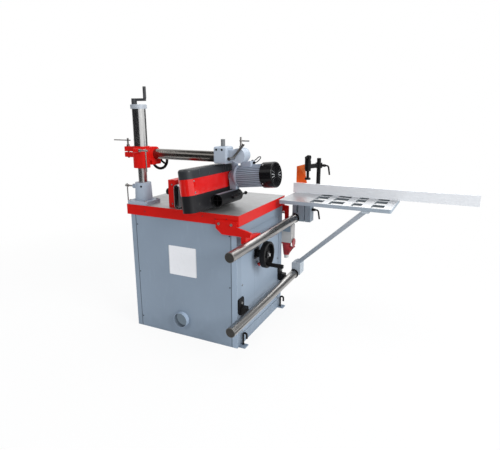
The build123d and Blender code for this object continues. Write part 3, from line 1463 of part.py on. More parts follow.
# Feed rollers: a rubber tyre pressed on a hub with its axle
for number, place in enumerate(roller_places):
    half = roller_width / 2
    tyre = rod("X", -half, half, place, roller_u, roller_radius)
    tyre = fillet(tyre.edges().filter_by(GeomType.CIRCLE), roller_edge)
    tyre -= rod("X", -roller_width, roller_width, place, roller_u, roller_hub_radius)
    hub = rod("X", -half + roller_hub_inset, half - roller_hub_inset, place, roller_u, roller_hub_radius)
    hub += rod("X", -casing_width / 2 + axle_inset, casing_width / 2 - axle_inset, place, roller_u,
               roller_axle)
    save("feed_roller_%d" % (number + 1), in_feeder(tyre + hub))

# Gearbox: bell housing beside the casing, lower drum with a barred end, and the pin of the knuckle
gear_inner = casing_width / 2 + band_proud
bell = Location(((gear_inner + feeder_motor_near) / 2, feeder_motor_l, feeder_motor_u), (0, 90, 0)) * Cone(
    neck_radius, bell_radius, feeder_motor_near - gear_inner)
gears = bell + rod("Z", pin_low, pin_top, pin_n, pin_l, pin_radius)
drum = rod("Y", drum_near, drum_far, drum_n, drum_u, drum_radius)
drum -= rod("Y", drum_near - reach, drum_near + drum_pocket, drum_n, drum_u, drum_radius - drum_wall)
grille_near = drum_near + grille_inset
inside = drum_radius - drum_wall / 2
drum += block(drum_n - inside, drum_n + inside, grille_near, grille_near + grille_bar,
              drum_u - grille_bar / 2, drum_u + grille_bar / 2)
drum += block(drum_n - grille_bar / 2, drum_n + grille_bar / 2, grille_near, grille_near + grille_bar,
              drum_u - inside, drum_u + inside)
gears += drum
web_right = feeder_motor_near - slip_gap
gears += block(web_right - drum_web, web_right, drum_web_near, drum_far, drum_u, feeder_motor_u)
save("gearbox", in_feeder(gears))

# Feeder motor: finned body with a flange and a terminal box
motor_end = feeder_motor_near + feeder_motor_length
ribbed = Circle(feeder_motor_radius)
for number in range(fin_count):
    fin = Rectangle(fin_height + fin_root, fin_thick)
    fin = Pos(feeder_motor_radius + (fin_height - fin_root) / 2, 0) * fin
    ribbed += Rotation(0, 0, 360.0 / fin_count * number) * fin
body = Location((feeder_motor_near, feeder_motor_l, feeder_motor_u), (0, 90, 0)) * extrude(
    ribbed, feeder_motor_length)
body += rod("X", feeder_motor_near, feeder_motor_near + feeder_motor_flange, feeder_motor_l, feeder_motor_u,
            feeder_motor_radius + fin_height)
box_near = feeder_motor_near + terminal_from_flange
box_far = box_near + terminal_length
roof = feeder_motor_u + feeder_motor_radius + fin_height
terminal = block(box_near, box_far, feeder_motor_l - terminal_width / 2, feeder_motor_l + terminal_width / 2,
                 roof - fin_height - terminal_sink, roof + terminal_height)
body += rounded(terminal, "Z", terminal_corner)
save("feeder_motor", in_feeder(body))

# Fan cover: a cup with radial slots in its end
cover = rod("X", motor_end, motor_end + fan_length, feeder_motor_l, feeder_motor_u, fan_radius)
cover = fillet(cover.edges().group_by(Axis.X)[-1], fan_edge)
cover -= rod("X", motor_end + fan_wall, motor_end + fan_length - fan_wall, feeder_motor_l, feeder_motor_u,
             fan_radius - fan_wall)
cover -= rod("X", motor_end - reach, motor_end + 2 * fan_wall, feeder_motor_l, feeder_motor_u, fan_mouth)
for number in range(fan_slots):
    slot = Pos(0, 0, (fan_slot_inner + fan_slot_outer) / 2) * Box(
        4 * fan_wall, fan_slot_width, fan_slot_outer - fan_slot_inner)
    turn = Rotation(360.0 / fan_slots * number, 0, 0)
    cover -= Pos(motor_end + fan_length - fan_wall, feeder_motor_l, feeder_motor_u) * turn * slot
save("fan_cover", in_feeder(cover))

# Motor cable: out of the terminal box, up in a loop over the motor and back into the box's far side
box_rear = feeder_motor_l + terminal_width / 2
cable_points = [Vector(box_far, 225, 90), Vector(box_far + 20, 225, 90), Vector(252, 236, 102),
                Vector(254, 256, 114), Vector(242, 280, 121), Vector(221, 292, 120), Vector(203, 290, 106),
                Vector(193, 277, 98), Vector(193, box_rear, 98)]
cable_runs = [after - before for before, after in zip(cable_points, cable_points[1:])]
cable_bends = []
for first, second in zip(cable_runs, cable_runs[1:]):
    half_turn = math.radians(first.get_angle(second)) / 2
    cable_bends.append(cable_share * min(first.length, second.length) / math.tan(half_turn))
print("cable bend radii", [round(bend, 1) for bend in cable_bends])
cable_path = FilletPolyline(cable_points, radius=cable_bends)
cable = sweep(Plane(cable_path @ 0, z_dir=cable_path % 0) * Circle(cable_radius), path=cable_path)
print("cable length", round(cable_path.length, 1), "volume", round(cable.volume, 1),
      "section times length", round(math.pi * cable_radius ** 2 * cable_path.length, 1))
save("motor_cable", in_feeder(cable))

# Speed lever: a rod with a ball on the outer side of the drum
speed = Cylinder(speed_hub, speed_hub_length)
speed += Rotation(-90, 0, 0) * Pos(0, 0, speed_length / 2) * Cylinder(speed_rod, speed_length)
speed += Pos(0, speed_length, 0) * Sphere(speed_knob)
speed_n = drum_n + drum_radius + speed_hub_length / 2 + slip_gap
pivot = Pos(speed_n, speed_pivot_l, drum_u) * Rotation(0, 90, 0) * Rotation(0, 0, speed_angle)
save("speed_lever", in_feeder(pivot * speed))
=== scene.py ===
import math

import bpy
from mathutils import Matrix, Vector


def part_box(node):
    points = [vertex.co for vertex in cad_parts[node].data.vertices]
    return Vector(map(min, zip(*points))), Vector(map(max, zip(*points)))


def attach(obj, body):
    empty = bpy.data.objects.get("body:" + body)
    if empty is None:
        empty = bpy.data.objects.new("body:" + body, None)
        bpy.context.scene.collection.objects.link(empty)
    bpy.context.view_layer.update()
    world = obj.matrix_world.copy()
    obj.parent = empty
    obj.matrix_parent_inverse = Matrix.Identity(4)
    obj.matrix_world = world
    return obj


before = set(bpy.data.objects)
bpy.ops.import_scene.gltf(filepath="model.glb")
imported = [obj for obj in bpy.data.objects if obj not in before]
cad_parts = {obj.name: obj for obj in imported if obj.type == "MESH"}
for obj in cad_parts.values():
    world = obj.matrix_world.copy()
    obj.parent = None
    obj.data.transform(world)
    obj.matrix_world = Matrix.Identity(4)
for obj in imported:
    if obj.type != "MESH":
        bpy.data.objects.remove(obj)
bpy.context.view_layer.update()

# Studio: a pale floor under the machine, a white surround and soft lamps from above and both sides.
# Dark cards that only polished metal can see stand round it, so that the column and the bars have
# something to show.
scene = bpy.context.scene
scene.view_settings.view_transform = "Standard"
floor_size = 14.0
floor_drop = 0.0006
bpy.ops.object.select_all(action="DESELECT")
bpy.ops.mesh.primitive_plane_add(size=floor_size, location=(0.0, 0.0, -floor_drop))
floor = bpy.context.object
floor.name = "floor"


class Flow:
    """One value on its way through a finish's nodes; arithmetic on it adds Math nodes."""

    def __init__(self, finish, socket):
        self.finish = finish
        self.socket = socket

    def reckon(self, operation, first, second=0.0):
        return self.finish.add("ShaderNodeMath", {"operation": operation}, {0: first, 1: second})

    def __add__(self, other):
        return self.reckon("ADD", self, other)

    def __radd__(self, other):
        return self.reckon("ADD", other, self)

    def __sub__(self, other):
        return self.reckon("SUBTRACT", self, other)

    def __rsub__(self, other):
        return self.reckon("SUBTRACT", other, self)

    def __mul__(self, other):
        return self.reckon("MULTIPLY", self, other)

    def __rmul__(self, other):
        return self.reckon("MULTIPLY", other, self)

    def __gt__(self, other):
        return self.reckon("GREATER_THAN", self, other)

    def __lt__(self, other):
        return self.reckon("LESS_THAN", self, other)

    def __abs__(self):
        return self.reckon("ABSOLUTE", self)


class Finish:
    """One material, built up node by node around its main shader."""

    def __init__(self, name):
        self.material = bpy.data.materials.new(name)
        self.material.use_nodes = True
        self.tree = self.material.node_tree
        self.shader = self.tree.nodes["Principled BSDF"]

    def add(self, kind, settings=None, sockets=None, out=0):
        """Any node: its settings first, then the values or links of its sockets."""
        node = self.tree.nodes.new(kind)
        for key, value in (settings or {}).items():
            setattr(node, key, value)
        for key, value in (sockets or {}).items():
            self.plug(node.inputs[key], value)
        return Flow(self, node.outputs[out])

    def plug(self, socket, value):
        """A link where the value comes from nodes, and else the plain value."""
        if isinstance(value, Flow):
            self.tree.links.new(value.socket, socket)
        else:
            socket.default_value = value

    def feed(self, **sockets):
        """Values or links for the main shader, with spaces in a socket's name written as _."""
        for key, value in sockets.items():
            self.plug(self.shader.inputs[key.replace("_", " ")], value)

    def place(self):
        """The place on the object, in metres."""
        return self.add("ShaderNodeTexCoord", out="Object")

    def normal(self):
        """The way that a surface faces."""
        return self.add("ShaderNodeTexCoord", out="Normal")

    def along(self, axis):
        """The place on the object along one axis, in metres."""
        return self.add("ShaderNodeSeparateXYZ", None, {0: self.place()}, out=axis)

    def facing(self, axis):
        """How far a surface faces along one axis, from -1 to 1."""
        return self.add("ShaderNodeSeparateXYZ", None, {0: self.normal()}, out=axis)

    def dot(self, vector, direction):
        """How far a vector reaches along a direction."""
        return self.add("ShaderNodeVectorMath", {"operation": "DOT_PRODUCT"}, {0: vector, 1: direction},
                        out="Value")

    def stretched(self, x, y, z):
        """The place on the object with each axis scaled, so that noise there runs in lines."""
        return self.add("ShaderNodeMapping", None, {"Vector": self.place(), "Scale": (x, y, z)})

    def noise(self, scale, detail, where=None):
        """Cloudy noise of about 0 to 1 on the object, finer with a larger scale."""
        return self.add("ShaderNodeTexNoise", None, {"Vector": where or self.place(), "Scale": scale,
                                                     "Detail": detail})

    def between(self, value, low, high, start=0.0, end=1.0):
        """A value that goes from start to end while another goes from low to high."""
        return self.add("ShaderNodeMapRange", {"clamp": True}, {0: value, 1: low, 2: high, 3: start, 4: end})

    def mix(self, share, one, other):
        """Two colours mixed by a share from 0 to 1; a Mix node has its colours in sockets 6 and 7."""
        return self.add("ShaderNodeMix", {"data_type": "RGBA"}, {0: share, 6: one, 7: other}, out=2)

    def bump(self, height, depth):
        """A surface raised by a height of 0 to 1, as deep as depth in metres."""
        return self.add("ShaderNodeBump", None, {"Height": height, "Distance": depth})


white = (1.0, 1.0, 1.0, 1.0)
floor_colour = (0.88, 0.88, 0.88, 1.0)
floor_glow = 0.9
clear_near = 1.6
clear_far = 3.2
# Under the cabinet the floor glows a dim grey-blue to camera rays instead of white: painted shade, seen
# inside the dust tube.
under_left = -0.371
under_right = 0.402
under_depth = 0.361
under_cabinet_shade_colour = (0.155, 0.195, 0.235, 1.0)
floor_paint = Finish("floor_paint")
floor_paint.feed(Base_Color=floor_colour, Roughness=0.9)
seen = floor_paint.add("ShaderNodeLightPath", out="Is Camera Ray")
for ray in ("Is Glossy Ray", "Is Transmission Ray"):
    seen = seen + floor_paint.add("ShaderNodeLightPath", out=ray)
floor_x = floor_paint.along("X")
floor_y = floor_paint.along("Y")
under = (floor_x > under_left) * (floor_x < under_right) * (floor_y > -under_depth) * (floor_y < under_depth)
glow_colour = floor_paint.mix(under, white, under_cabinet_shade_colour)
glowing = floor_paint.add("ShaderNodeEmission", None, {"Color": glow_colour, "Strength": 1.0})
painted_floor = Flow(floor_paint, floor_paint.shader.outputs[0])
out_square = floor_x * floor_x + floor_y * floor_y
glow = floor_paint.between(out_square, clear_near * clear_near, clear_far * clear_far, floor_glow, 1.0)
shown = floor_paint.add("ShaderNodeMixShader", None, {0: seen * glow, 1: painted_floor, 2: glowing})
floor_paint.plug(floor_paint.tree.nodes["Material Output"].inputs["Surface"], shown)
floor.data.materials.append(floor_paint.material)

sky_colour = (0.93, 0.96, 1.0, 1.0)
sky_strength = 0.42
surround = bpy.data.worlds.new("surround")
scene.world = surround
surround.use_nodes = True
air = surround.node_tree
plain_sky = air.nodes["Background"]
plain_sky.inputs["Color"].default_value = sky_colour
plain_sky.inputs["Strength"].default_value = sky_strength
white_sky = air.nodes.new("ShaderNodeBackground")
white_sky.inputs["Color"].default_value = white
white_sky.inputs["Strength"].default_value = 1.0
light_path = air.nodes.new("ShaderNodeLightPath")
sky_seen = light_path.outputs["Is Camera Ray"]
for ray in ("Is Glossy Ray", "Is Transmission Ray"):
    either = air.nodes.new("ShaderNodeMath")
    either.use_clamp = True
    air.links.new(sky_seen, either.inputs[0])
    air.links.new(light_path.outputs[ray], either.inputs[1])
    sky_seen = either.outputs[0]
sky_mix = air.nodes.new("ShaderNodeMixShader")
air.links.new(sky_seen, sky_mix.inputs[0])
air.links.new(plain_sky.outputs[0], sky_mix.inputs[1])
air.links.new(white_sky.outputs[0], sky_mix.inputs[2])
air.links.new(sky_mix.outputs[0], air.nodes["World Output"].inputs["Surface"])

# Each lamp has a place, a place that it aims at, a width in metres and a power in watts.
lamps = (("key_lamp", (8.1, -2.4, 4.9), (0.3, 0.0, 0.7), 4.4, 590.0),
         ("fill_lamp", (-2.2, -3.8, 2.4), (0.0, 0.0, 0.7), 2.0, 34.0),
         ("top_lamp", (0.4, 0.4, 4.2), (0.3, 0.0, 0.8), 2.6, 62.0),
         ("back_lamp", (0.5, 3.6, 2.6), (0.2, 0.0, 0.8), 2.0, 30.0))
for lamp_name, lamp_place, lamp_aim, lamp_size, lamp_power in lamps:
    bpy.ops.object.light_add(type="AREA", location=lamp_place)
    lamp = bpy.context.object
    lamp.name = lamp_name
    lamp.data.size = lamp_size
    lamp.data.energy = lamp_power
    lamp.visible_glossy = lamp_name != "fill_lamp"
    lamp.rotation_euler = (Vector(lamp_aim) - Vector(lamp_place)).to_track_quat("-Z", "Y").to_euler()

# Each card has a place, a place that it faces, and a width and height in metres.
card_paint = Finish("card_paint")
card_paint.feed(Base_Color=(0.025, 0.025, 0.027, 1.0), Roughness=0.8)
cards = (("card_left", (-5.6, -2.6, 1.7), (0.0, 0.0, 1.7), (7.5, 5.0)),
         ("card_front", (-1.0, -6.4, 1.7), (-1.0, 0.0, 1.7), (9.0, 5.0)),
         ("card_low", (-1.6, -3.6, 0.012), (-1.6, -3.6, 2.0), (5.6, 4.0)),
         ("card_right", (1.9, -1.5, 0.012), (1.9, -1.5, 2.0), (2.4, 3.6)),
         ("card_back", (2.6, 6.4, 1.5), (2.6, 0.0, 1.5), (7.0, 3.4)),
         ("card_over", (-0.4, -0.6, 5.6), (-0.4, -0.6, 0.0), (6.0, 6.0)))
for card_name, card_place, card_aim, card_size in cards:
    bpy.ops.mesh.primitive_plane_add(size=1.0, location=card_place)
    card = bpy.context.object
    card.name = card_name
    card.scale = (card_size[0], card_size[1], 1.0)
    card.rotation_euler = (Vector(card_aim) - Vector(card_place)).to_track_quat("Z", "Y").to_euler()
    card.data.materials.append(card_paint.material)
    card.visible_camera = False
    card.visible_diffuse = False
    card.visible_shadow = False

camera_place = (1.5235, -2.5143, 1.4204)
camera_pitch = 75.56
camera_heading = 25.65
bpy.ops.object.camera_add(location=camera_place)
camera = bpy.context.object
camera.rotation_euler = (math.radians(camera_pitch), 0.0, math.radians(camera_heading))
camera.data.lens = 31.23
camera.data.sensor_width = 36.0
scene.camera = camera


# Cabinet: a box of folded steel sheet with welded feet, and a tube for the dust hose low on its front.
# It is sprayed in pale blue-grey satin paint, with painted shade in its front seams and inside the dust
# tube, and painted highlights on the tube and on the corner post.
def dress(finish, *names):
    """Give solids of the machine one finish."""
    for name in names:
        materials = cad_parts[name].data.materials
        materials.clear()
        materials.append(finish.material)


def shade(colour, factor):
    """A colour made lighter or darker, ready for a socket."""
    return tuple(min(1.0, part * factor) for part in colour[:3]) + (1.0,)


def paint(name, colour, rough, mottle=0.06, peel=0.00006, dark_foot=0.0, shine=0.14, marks=None):
    """Sprayed paint: a drifting tone, orange peel and rubs, with darker patches towards the floor or marks
    if asked.
    """
    coat = Finish(name)
    drift = coat.between(coat.noise(scale=2.4, detail=4.0), 0.3, 0.7)
    tone = coat.mix(drift, shade(colour, 1.0 - mottle), shade(colour, 1.0 + mottle))
    upright = coat.stretched(1.0, 1.0, 0.25)
    rubs = coat.between(coat.noise(scale=38.0, detail=5.0, where=upright), 0.58, 0.72)
    tone = coat.mix(rubs * 0.12, tone, shade(colour, 1.35))
    # Darker in patches towards the floor, below the given height.
    if dark_foot:
        low = coat.between(coat.along("Z"), 0.0, dark_foot, 1.0, 0.0)
        foot_patches = low * coat.between(coat.noise(scale=14.0, detail=6.0), 0.35, 0.7)
        tone = coat.mix(foot_patches * 0.35, tone, shade(colour, 0.6))
    if marks:
        tone = marks(coat, tone)
    orange_peel = coat.noise(scale=620.0, detail=2.0)
    coat.feed(Base_Color=tone, Roughness=rough + 0.14 * rubs + 0.05 * drift,
              Normal=coat.bump(orange_peel, peel), Specular_IOR_Level=shine)
    return coat


cabinet_colour = (0.256, 0.318, 0.395)
dark_foot_height = 0.16
front_y = -0.361
front_skin = 0.004
seam_left = -0.334
seam_right = 0.365
seam_half = 0.0026
spigot_z = 0.118
spigot_outer = 0.0505
spigot_inner = 0.0482
spigot_root = 0.003
spigot_start = 0.0005


def cabinet_light_and_shade(coat, tone):
    """Painted highlights on the spigot and right post; painted shade inside the spigot and in the front
    seams.
    """
    x = coat.along("X")
    y = coat.along("Y")
    up = coat.along("Z") - spigot_z
    spigot_square = x * x + up * up
    spigot = (spigot_square < spigot_outer * spigot_outer) * (y < front_y + spigot_root)
    spigot_inner_shade = spigot * (spigot_square < spigot_inner * spigot_inner)
    # The tube is painted paler as a highlight, and its inside darker as painted shade.
    tone = coat.mix(spigot * (y < front_y - spigot_start), tone, shade(cabinet_colour, 1.38))
    tone = coat.mix(spigot_inner_shade, tone, shade(cabinet_colour, 0.75))
    front = y < front_y + front_skin
    # The corner post is painted paler, as a highlight where it turns towards the light.
    tone = coat.mix((x > seam_right) * front, tone, shade(cabinet_colour, 1.3))
    # Each front seam gets a dark line of painted shade.
    lines = (abs(x - seam_left) < seam_half) + (abs(x - seam_right) < seam_half)
    return coat.mix(lines * front * 0.8, tone, shade(cabinet_colour, 0.2))


cabinet_paint = paint("cabinet_paint", cabinet_colour, rough=0.42, mottle=0.05, peel=0.00008,
                      dark_foot=dark_foot_height, marks=cabinet_light_and_shade)
dress(cabinet_paint, "cabinet_shell")

# Side panel: a flat steel sheet on the cabinet's right side, with a faint upright joint in its lower part.
# The flange and sleeve of the handwheel's bearing stand out of it and are black.
# The panel's paint is the cabinet's made a tenth lighter, as painted light on this lit side.
lit_panel_colour = shade(cabinet_colour, 1.1)
panel_face = 0.400
wheel_y = -0.082
wheel_z = 0.544
bearing_half = 0.033
bearing_start = panel_face + 0.0002
bearing_black = (0.010, 0.010, 0.011, 1.0)
joint_y = -0.105
joint_top = 0.508
joint_half = 0.0009


def panel_marks(coat, tone):
    """The joint line, and black where the bearing stands out of the panel."""
    y = coat.along("Y")
    z = coat.along("Z")
    joint = (abs(y - joint_y) < joint_half) * (z < joint_top)
    tone = coat.mix(joint * 0.55, tone, shade(lit_panel_colour, 0.3))
    bearing = (abs(y - wheel_y) < bearing_half) * (abs(z - wheel_z) < bearing_half)
    return coat.mix(bearing * (coat.along("X") > bearing_start), tone, bearing_black)


lit_panel_paint = paint("lit_panel_paint", lit_panel_colour, rough=0.40, mottle=0.04, peel=0.00008,
                    dark_foot=dark_foot_height, marks=panel_marks)
dress(lit_panel_paint, "side_panel")


# Rivets and screws of the cabinet: small dark rivets down both seams of the front, and steel screws
# with a recess for the driver round the side panel. Each head is domed and stands on its sheet.
def pick(piece, kind, test):
    """In edit mode, select the faces or edges whose middle and direction pass a test."""
    bpy.ops.object.mode_set(mode="EDIT")
    bpy.ops.mesh.select_mode(type=kind)
    bpy.ops.mesh.select_all(action="DESELECT")
    bpy.ops.object.mode_set(mode="OBJECT")
    mesh = piece.data
    if kind == "FACE":
        for face in mesh.polygons:
            face.select = test(face.center, face.normal)
    else:
        for edge in mesh.edges:
            one, two = (mesh.vertices[i].co for i in edge.vertices)
            edge.select = test((one + two) / 2, (two - one).normalized())
    bpy.ops.object.mode_set(mode="EDIT")


def settle(piece, name, body, finish):
    """Finish a new piece: its place goes into its mesh, and it rides on a body with one finish."""
    smooth_angle = math.radians(40.0)
    if bpy.context.mode != "OBJECT":
        bpy.ops.object.mode_set(mode="OBJECT")
    bpy.ops.object.select_all(action="DESELECT")
    piece.select_set(True)
    bpy.context.view_layer.objects.active = piece
    bpy.ops.object.transform_apply(location=True, rotation=True, scale=True)
    bpy.ops.object.shade_smooth_by_angle(angle=smooth_angle)
    piece.name = name
    piece.data.name = name
    piece.data.materials.clear()
    piece.data.materials.append(finish.material)
    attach(piece, body)


def cylinder(sides, radius, bottom, height):
    """A new upright cylinder, with its place in its mesh."""
    bpy.ops.object.select_all(action="DESELECT")
    bpy.ops.mesh.primitive_cylinder_add(vertices=sides, radius=radius, depth=height,
                                        location=(0.0, 0.0, bottom + height / 2))
    bpy.ops.object.transform_apply(location=True, rotation=False, scale=False)
    return bpy.context.object


def extrude(depth):
    """Push the selected faces out along Z."""
    bpy.ops.mesh.extrude_region_move(TRANSFORM_OT_translate={"value": (0.0, 0.0, depth)})


def round_head(radius, height, dome, recess=0.0):
    """A round screw or rivet head standing on the origin, domed, with a recess for the driver if asked."""
    sides = 20
    head = cylinder(sides, radius, 0.0, height)
    if recess:
        pick(head, "FACE", lambda middle, normal: normal.z > 0.9)
        bpy.ops.mesh.inset(thickness=radius * 0.5)
        extrude(-recess)
    rim = radius * math.cos(math.pi / sides) * 0.98
    pick(head, "EDGE", lambda middle, way: middle.z > height * 0.99 and math.hypot(middle.x, middle.y) > rim)
    bpy.ops.mesh.bevel(offset=dome, segments=3)
    bpy.ops.object.mode_set(mode="OBJECT")
    return head


def repeat(model, name, spots, body, finish):
    """Copies of one modelled piece, each at a spot and facing a way, joined and riding on one body."""
    copies = []
    for spot, way in spots:
        twin = model.copy()
        twin.data = model.data.copy()
        turn = Vector(way).to_track_quat("Z", "Y").to_matrix().to_4x4()
        twin.data.transform(Matrix.Translation(spot) @ turn)
        scene.collection.objects.link(twin)
        copies.append(twin)
    bpy.ops.object.select_all(action="DESELECT")
    for twin in copies:
        twin.select_set(True)
    bpy.context.view_layer.objects.active = copies[0]
    if len(copies) > 1:
        bpy.ops.object.join()
    joined = bpy.context.view_layer.objects.active
    bpy.data.objects.remove(model)
    settle(joined, name, body, finish)


def metal(name, colour, rough, grain_scale, grain_way=(1.0, 1.0, 1.0), grain_depth=0.00002,
          streak=0.10, tarnish=0.12, bare_share=1.0):
    """Bare metal with a worked grain: fine lines along one way, faint streaks and soft tarnish."""
    bare = Finish(name)
    lines = bare.noise(scale=grain_scale, detail=3.0, where=bare.stretched(*grain_way))
    cloud = bare.between(bare.noise(scale=9.0, detail=5.0), 0.35, 0.7)
    streaks = bare.between(lines, 0.3, 0.7)
    tone = bare.mix(streaks, shade(colour, 1.0 - streak), shade(colour, 1.0 + streak))
    tone = bare.mix(cloud * tarnish, tone, shade(colour, 0.55))
    bare.feed(Base_Color=tone, Metallic=bare_share, Roughness=rough + 0.12 * lines + 0.10 * cloud,
              Normal=bare.bump(lines, grain_depth))
    return bare


forwards = (0.0, -1.0, 0.0)
rightwards = (1.0, 0.0, 0.0)
rivet_steel = metal("rivet_steel", (0.36, 0.38, 0.40), rough=0.34, grain_scale=260.0)
rivet_dark = metal("rivet_dark", (0.07, 0.08, 0.09), rough=0.4, grain_scale=260.0)
rivet_columns = (-0.324, 0.355)
rivet_rows = (0.072, 0.397, 0.721)
rivet_spots = [((x, front_y, z), forwards) for x in rivet_columns for z in rivet_rows]
rivet = round_head(radius=0.0042, height=0.0022, dome=0.0016)
repeat(rivet, "cabinet_rivets", rivet_spots, "machine", rivet_dark)
panel_columns = (-0.286, 0.286)
panel_rows = (0.086, 0.395, 0.704)
panel_spots = [((panel_face, y, z), rightwards) for y in panel_columns for z in panel_rows]
panel_screw = round_head(radius=0.0062, height=0.0032, dome=0.0018, recess=0.0014)
repeat(panel_screw, "panel_screws", panel_spots, "machine", rivet_steel)


# Front plate: a plain pale sheet with rounded corners, stuck flat on the middle of the cabinet's front.
# Its face is a little scuffed under a thin gloss, and its two ends are greyer.
def flat_plate(middle, size, corner, corner_steps):
    """A thin plate that faces forwards, with its four corners rounded."""
    bpy.ops.object.select_all(action="DESELECT")
    bpy.ops.mesh.primitive_cube_add(size=1.0, location=middle)
    plate = bpy.context.object
    plate.scale = size
    bpy.ops.object.transform_apply(location=False, rotation=False, scale=True)
    pick(plate, "EDGE", lambda edge_middle, way: abs(way.y) > 0.9)
    bpy.ops.mesh.bevel(offset=corner, segments=corner_steps)
    return plate


plate_x = 0.0175
plate_z = 0.515
plate_width = 0.205
plate_height = 0.192
plate_thick = 0.001
plate_end = 0.005
plate_white = Finish("plate_white")
scuffs = plate_white.between(plate_white.noise(scale=60.0, detail=5.0), 0.55, 0.75)
end_distance = abs(plate_white.along("X") - plate_x)
ends = plate_white.between(end_distance, plate_width / 2 - plate_end, plate_width / 2 - plate_end + 0.001)
plate_tone = plate_white.mix(scuffs * 0.2, (0.86, 0.87, 0.90, 1.0), (0.70, 0.71, 0.73, 1.0))
plate_white.feed(Base_Color=plate_white.mix(ends * 0.5, plate_tone, (0.45, 0.46, 0.48, 1.0)),
                 Roughness=0.34 + 0.2 * scuffs, Coat_Weight=0.3, Coat_Roughness=0.2)
plate_middle = (plate_x, front_y - plate_thick / 2, plate_z)
plate_size = (plate_width, plate_thick, plate_height)
bare_plate = flat_plate(plate_middle, plate_size, corner=0.006, corner_steps=4)
settle(bare_plate, "front_plate", "machine", plate_white)

# Lifting hooks: bent round steel bar in black paint.
# They stand on the two feet at the cabinet's right.
black_paint = paint("black_paint", (0.010, 0.010, 0.011), rough=0.38, mottle=0.15, peel=0.0001)
dress(black_paint, "lifting_hooks")

# Main table: one iron casting, ground bright on top, painted red round its outer rim and dark elsewhere.
# The grinding marks run along the table, with swirls of light wear where boards pass.
# Small dark screws sit in the front of the rim.
table_iron = Finish("table_iron")
grinding_way = table_iron.stretched(0.06, 1.0, 1.0)
grinding = table_iron.noise(scale=190.0, detail=3.0, where=grinding_way)
swirl = table_iron.between(table_iron.noise(scale=6.0, detail=6.0), 0.35, 0.7)
specks = table_iron.between(table_iron.noise(scale=420.0, detail=2.0), 0.62, 0.74)
grinding_share = table_iron.between(grinding, 0.3, 0.7)
ground = table_iron.mix(grinding_share, (0.38, 0.385, 0.39, 1.0), (0.52, 0.525, 0.53, 1.0))
ground = table_iron.mix(swirl * 0.3, ground, (0.29, 0.285, 0.28, 1.0))
ground = table_iron.mix(specks * 0.35, ground, (0.26, 0.25, 0.24, 1.0))
rim_red = (0.62, 0.008, 0.005)
rim_peel = table_iron.noise(scale=480.0, detail=2.0)
rim_drift = table_iron.between(table_iron.noise(scale=3.0, detail=4.0), 0.3, 0.7)
rim_tone = table_iron.mix(rim_drift, shade(rim_red, 0.92), shade(rim_red, 1.08))
upper_face = table_iron.between(table_iron.facing("Z"), 0.9, 0.95)
ground_top = table_iron.between(table_iron.along("Z"), 0.8497, 0.8499) * upper_face
rim_low, rim_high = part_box("main_table")
rim_middle = (rim_low + rim_high) / 2
rim_half = (rim_high - rim_low) / 2
paint_depth = 0.004
side_rim = abs(table_iron.along("X") - rim_middle.x) > rim_half.x - paint_depth
end_rim = abs(table_iron.along("Y") - rim_middle.y) > rim_half.y - paint_depth
rim_share = table_iron.between(side_rim + end_rim, 0.0, 0.5)
painted = table_iron.mix(rim_share, (0.075, 0.074, 0.072, 1.0), rim_tone)
table_relief = grinding * ground_top * 0.4 + rim_peel * (1.0 - ground_top)
table_iron.feed(Base_Color=table_iron.mix(ground_top, painted, ground), Metallic=0.75 * ground_top,
                Roughness=0.33 + ground_top * (0.05 + 0.10 * swirl),
                Normal=table_iron.bump(table_relief, 0.00006), Specular_IOR_Level=0.14)
dress(table_iron, "main_table")
rim_places = ((-0.254, 0.814), (0.175, 0.826), (0.264, 0.817), (0.340, 0.824))
rim_spots = [((x, rim_low.y, z), forwards) for x, z in rim_places]
rim_screw = round_head(radius=0.0036, height=0.0014, dome=0.0006, recess=0.0006)
repeat(rim_screw, "rim_screws", rim_spots, "machine", rivet_dark)

# Spindle drive inside the cabinet: quill casting, ground spindle, alloy pulleys, motor and belt.
# Only the spindle's nose can be seen, between the fence halves.
quill_iron = metal("quill_iron", (0.24, 0.245, 0.25), rough=0.5, grain_scale=240.0, grain_depth=0.00008)
spindle_steel = metal("spindle_steel", (0.60, 0.60, 0.60), rough=0.2, grain_scale=500.0,
                      grain_way=(1.0, 1.0, 12.0))
pulley_alloy = metal("pulley_alloy", (0.66, 0.67, 0.68), rough=0.32, grain_scale=320.0,
                     grain_way=(1.0, 1.0, 10.0))
motor_paint = paint("motor_paint", (0.10, 0.125, 0.15), rough=0.45)
belt_rubber = Finish("belt_rubber")
belt_cord = belt_rubber.noise(scale=300.0, detail=2.0, where=belt_rubber.stretched(0.2, 0.2, 1.0))
belt_rubber.feed(Base_Color=belt_rubber.mix(belt_cord, (0.012, 0.012, 0.012, 1.0), (0.03, 0.03, 0.03, 1.0)),
                 Roughness=0.7 + 0.1 * belt_cord, Normal=belt_rubber.bump(belt_cord, 0.0002))
dress(quill_iron, "quill")
dress(spindle_steel, "spindle_shaft")
dress(pulley_alloy, "spindle_pulley", "motor_pulley")
dress(motor_paint, "drive_motor")
dress(belt_rubber, "drive_belt")


# Handwheel and stop button on the side panel: a black moulded wheel with a long turned grip, and a red
# mushroom cap below it. A bright nut holds the wheel on its shaft, and a screw holds the grip.
def moulded(name, colour, rough, speckle=0.00012, gloss=0.0):
    """Moulded plastic: a fine even grain, slight tone drift and a faint shine where hands rub."""
    stuff = Finish(name)
    grain = stuff.noise(scale=900.0, detail=2.0)
    drift = stuff.between(stuff.noise(scale=7.0, detail=4.0), 0.35, 0.7)
    handled = stuff.between(stuff.noise(scale=26.0, detail=5.0), 0.5, 0.75)
    tone = stuff.mix(drift, shade(colour, 0.85), shade(colour, 1.2))
    stuff.feed(Base_Color=tone, Roughness=rough + 0.08 * grain - 0.12 * handled,
               Normal=stuff.bump(grain, speckle), Specular_IOR_Level=0.16,
               Coat_Weight=gloss, Coat_Roughness=0.12)
    return stuff


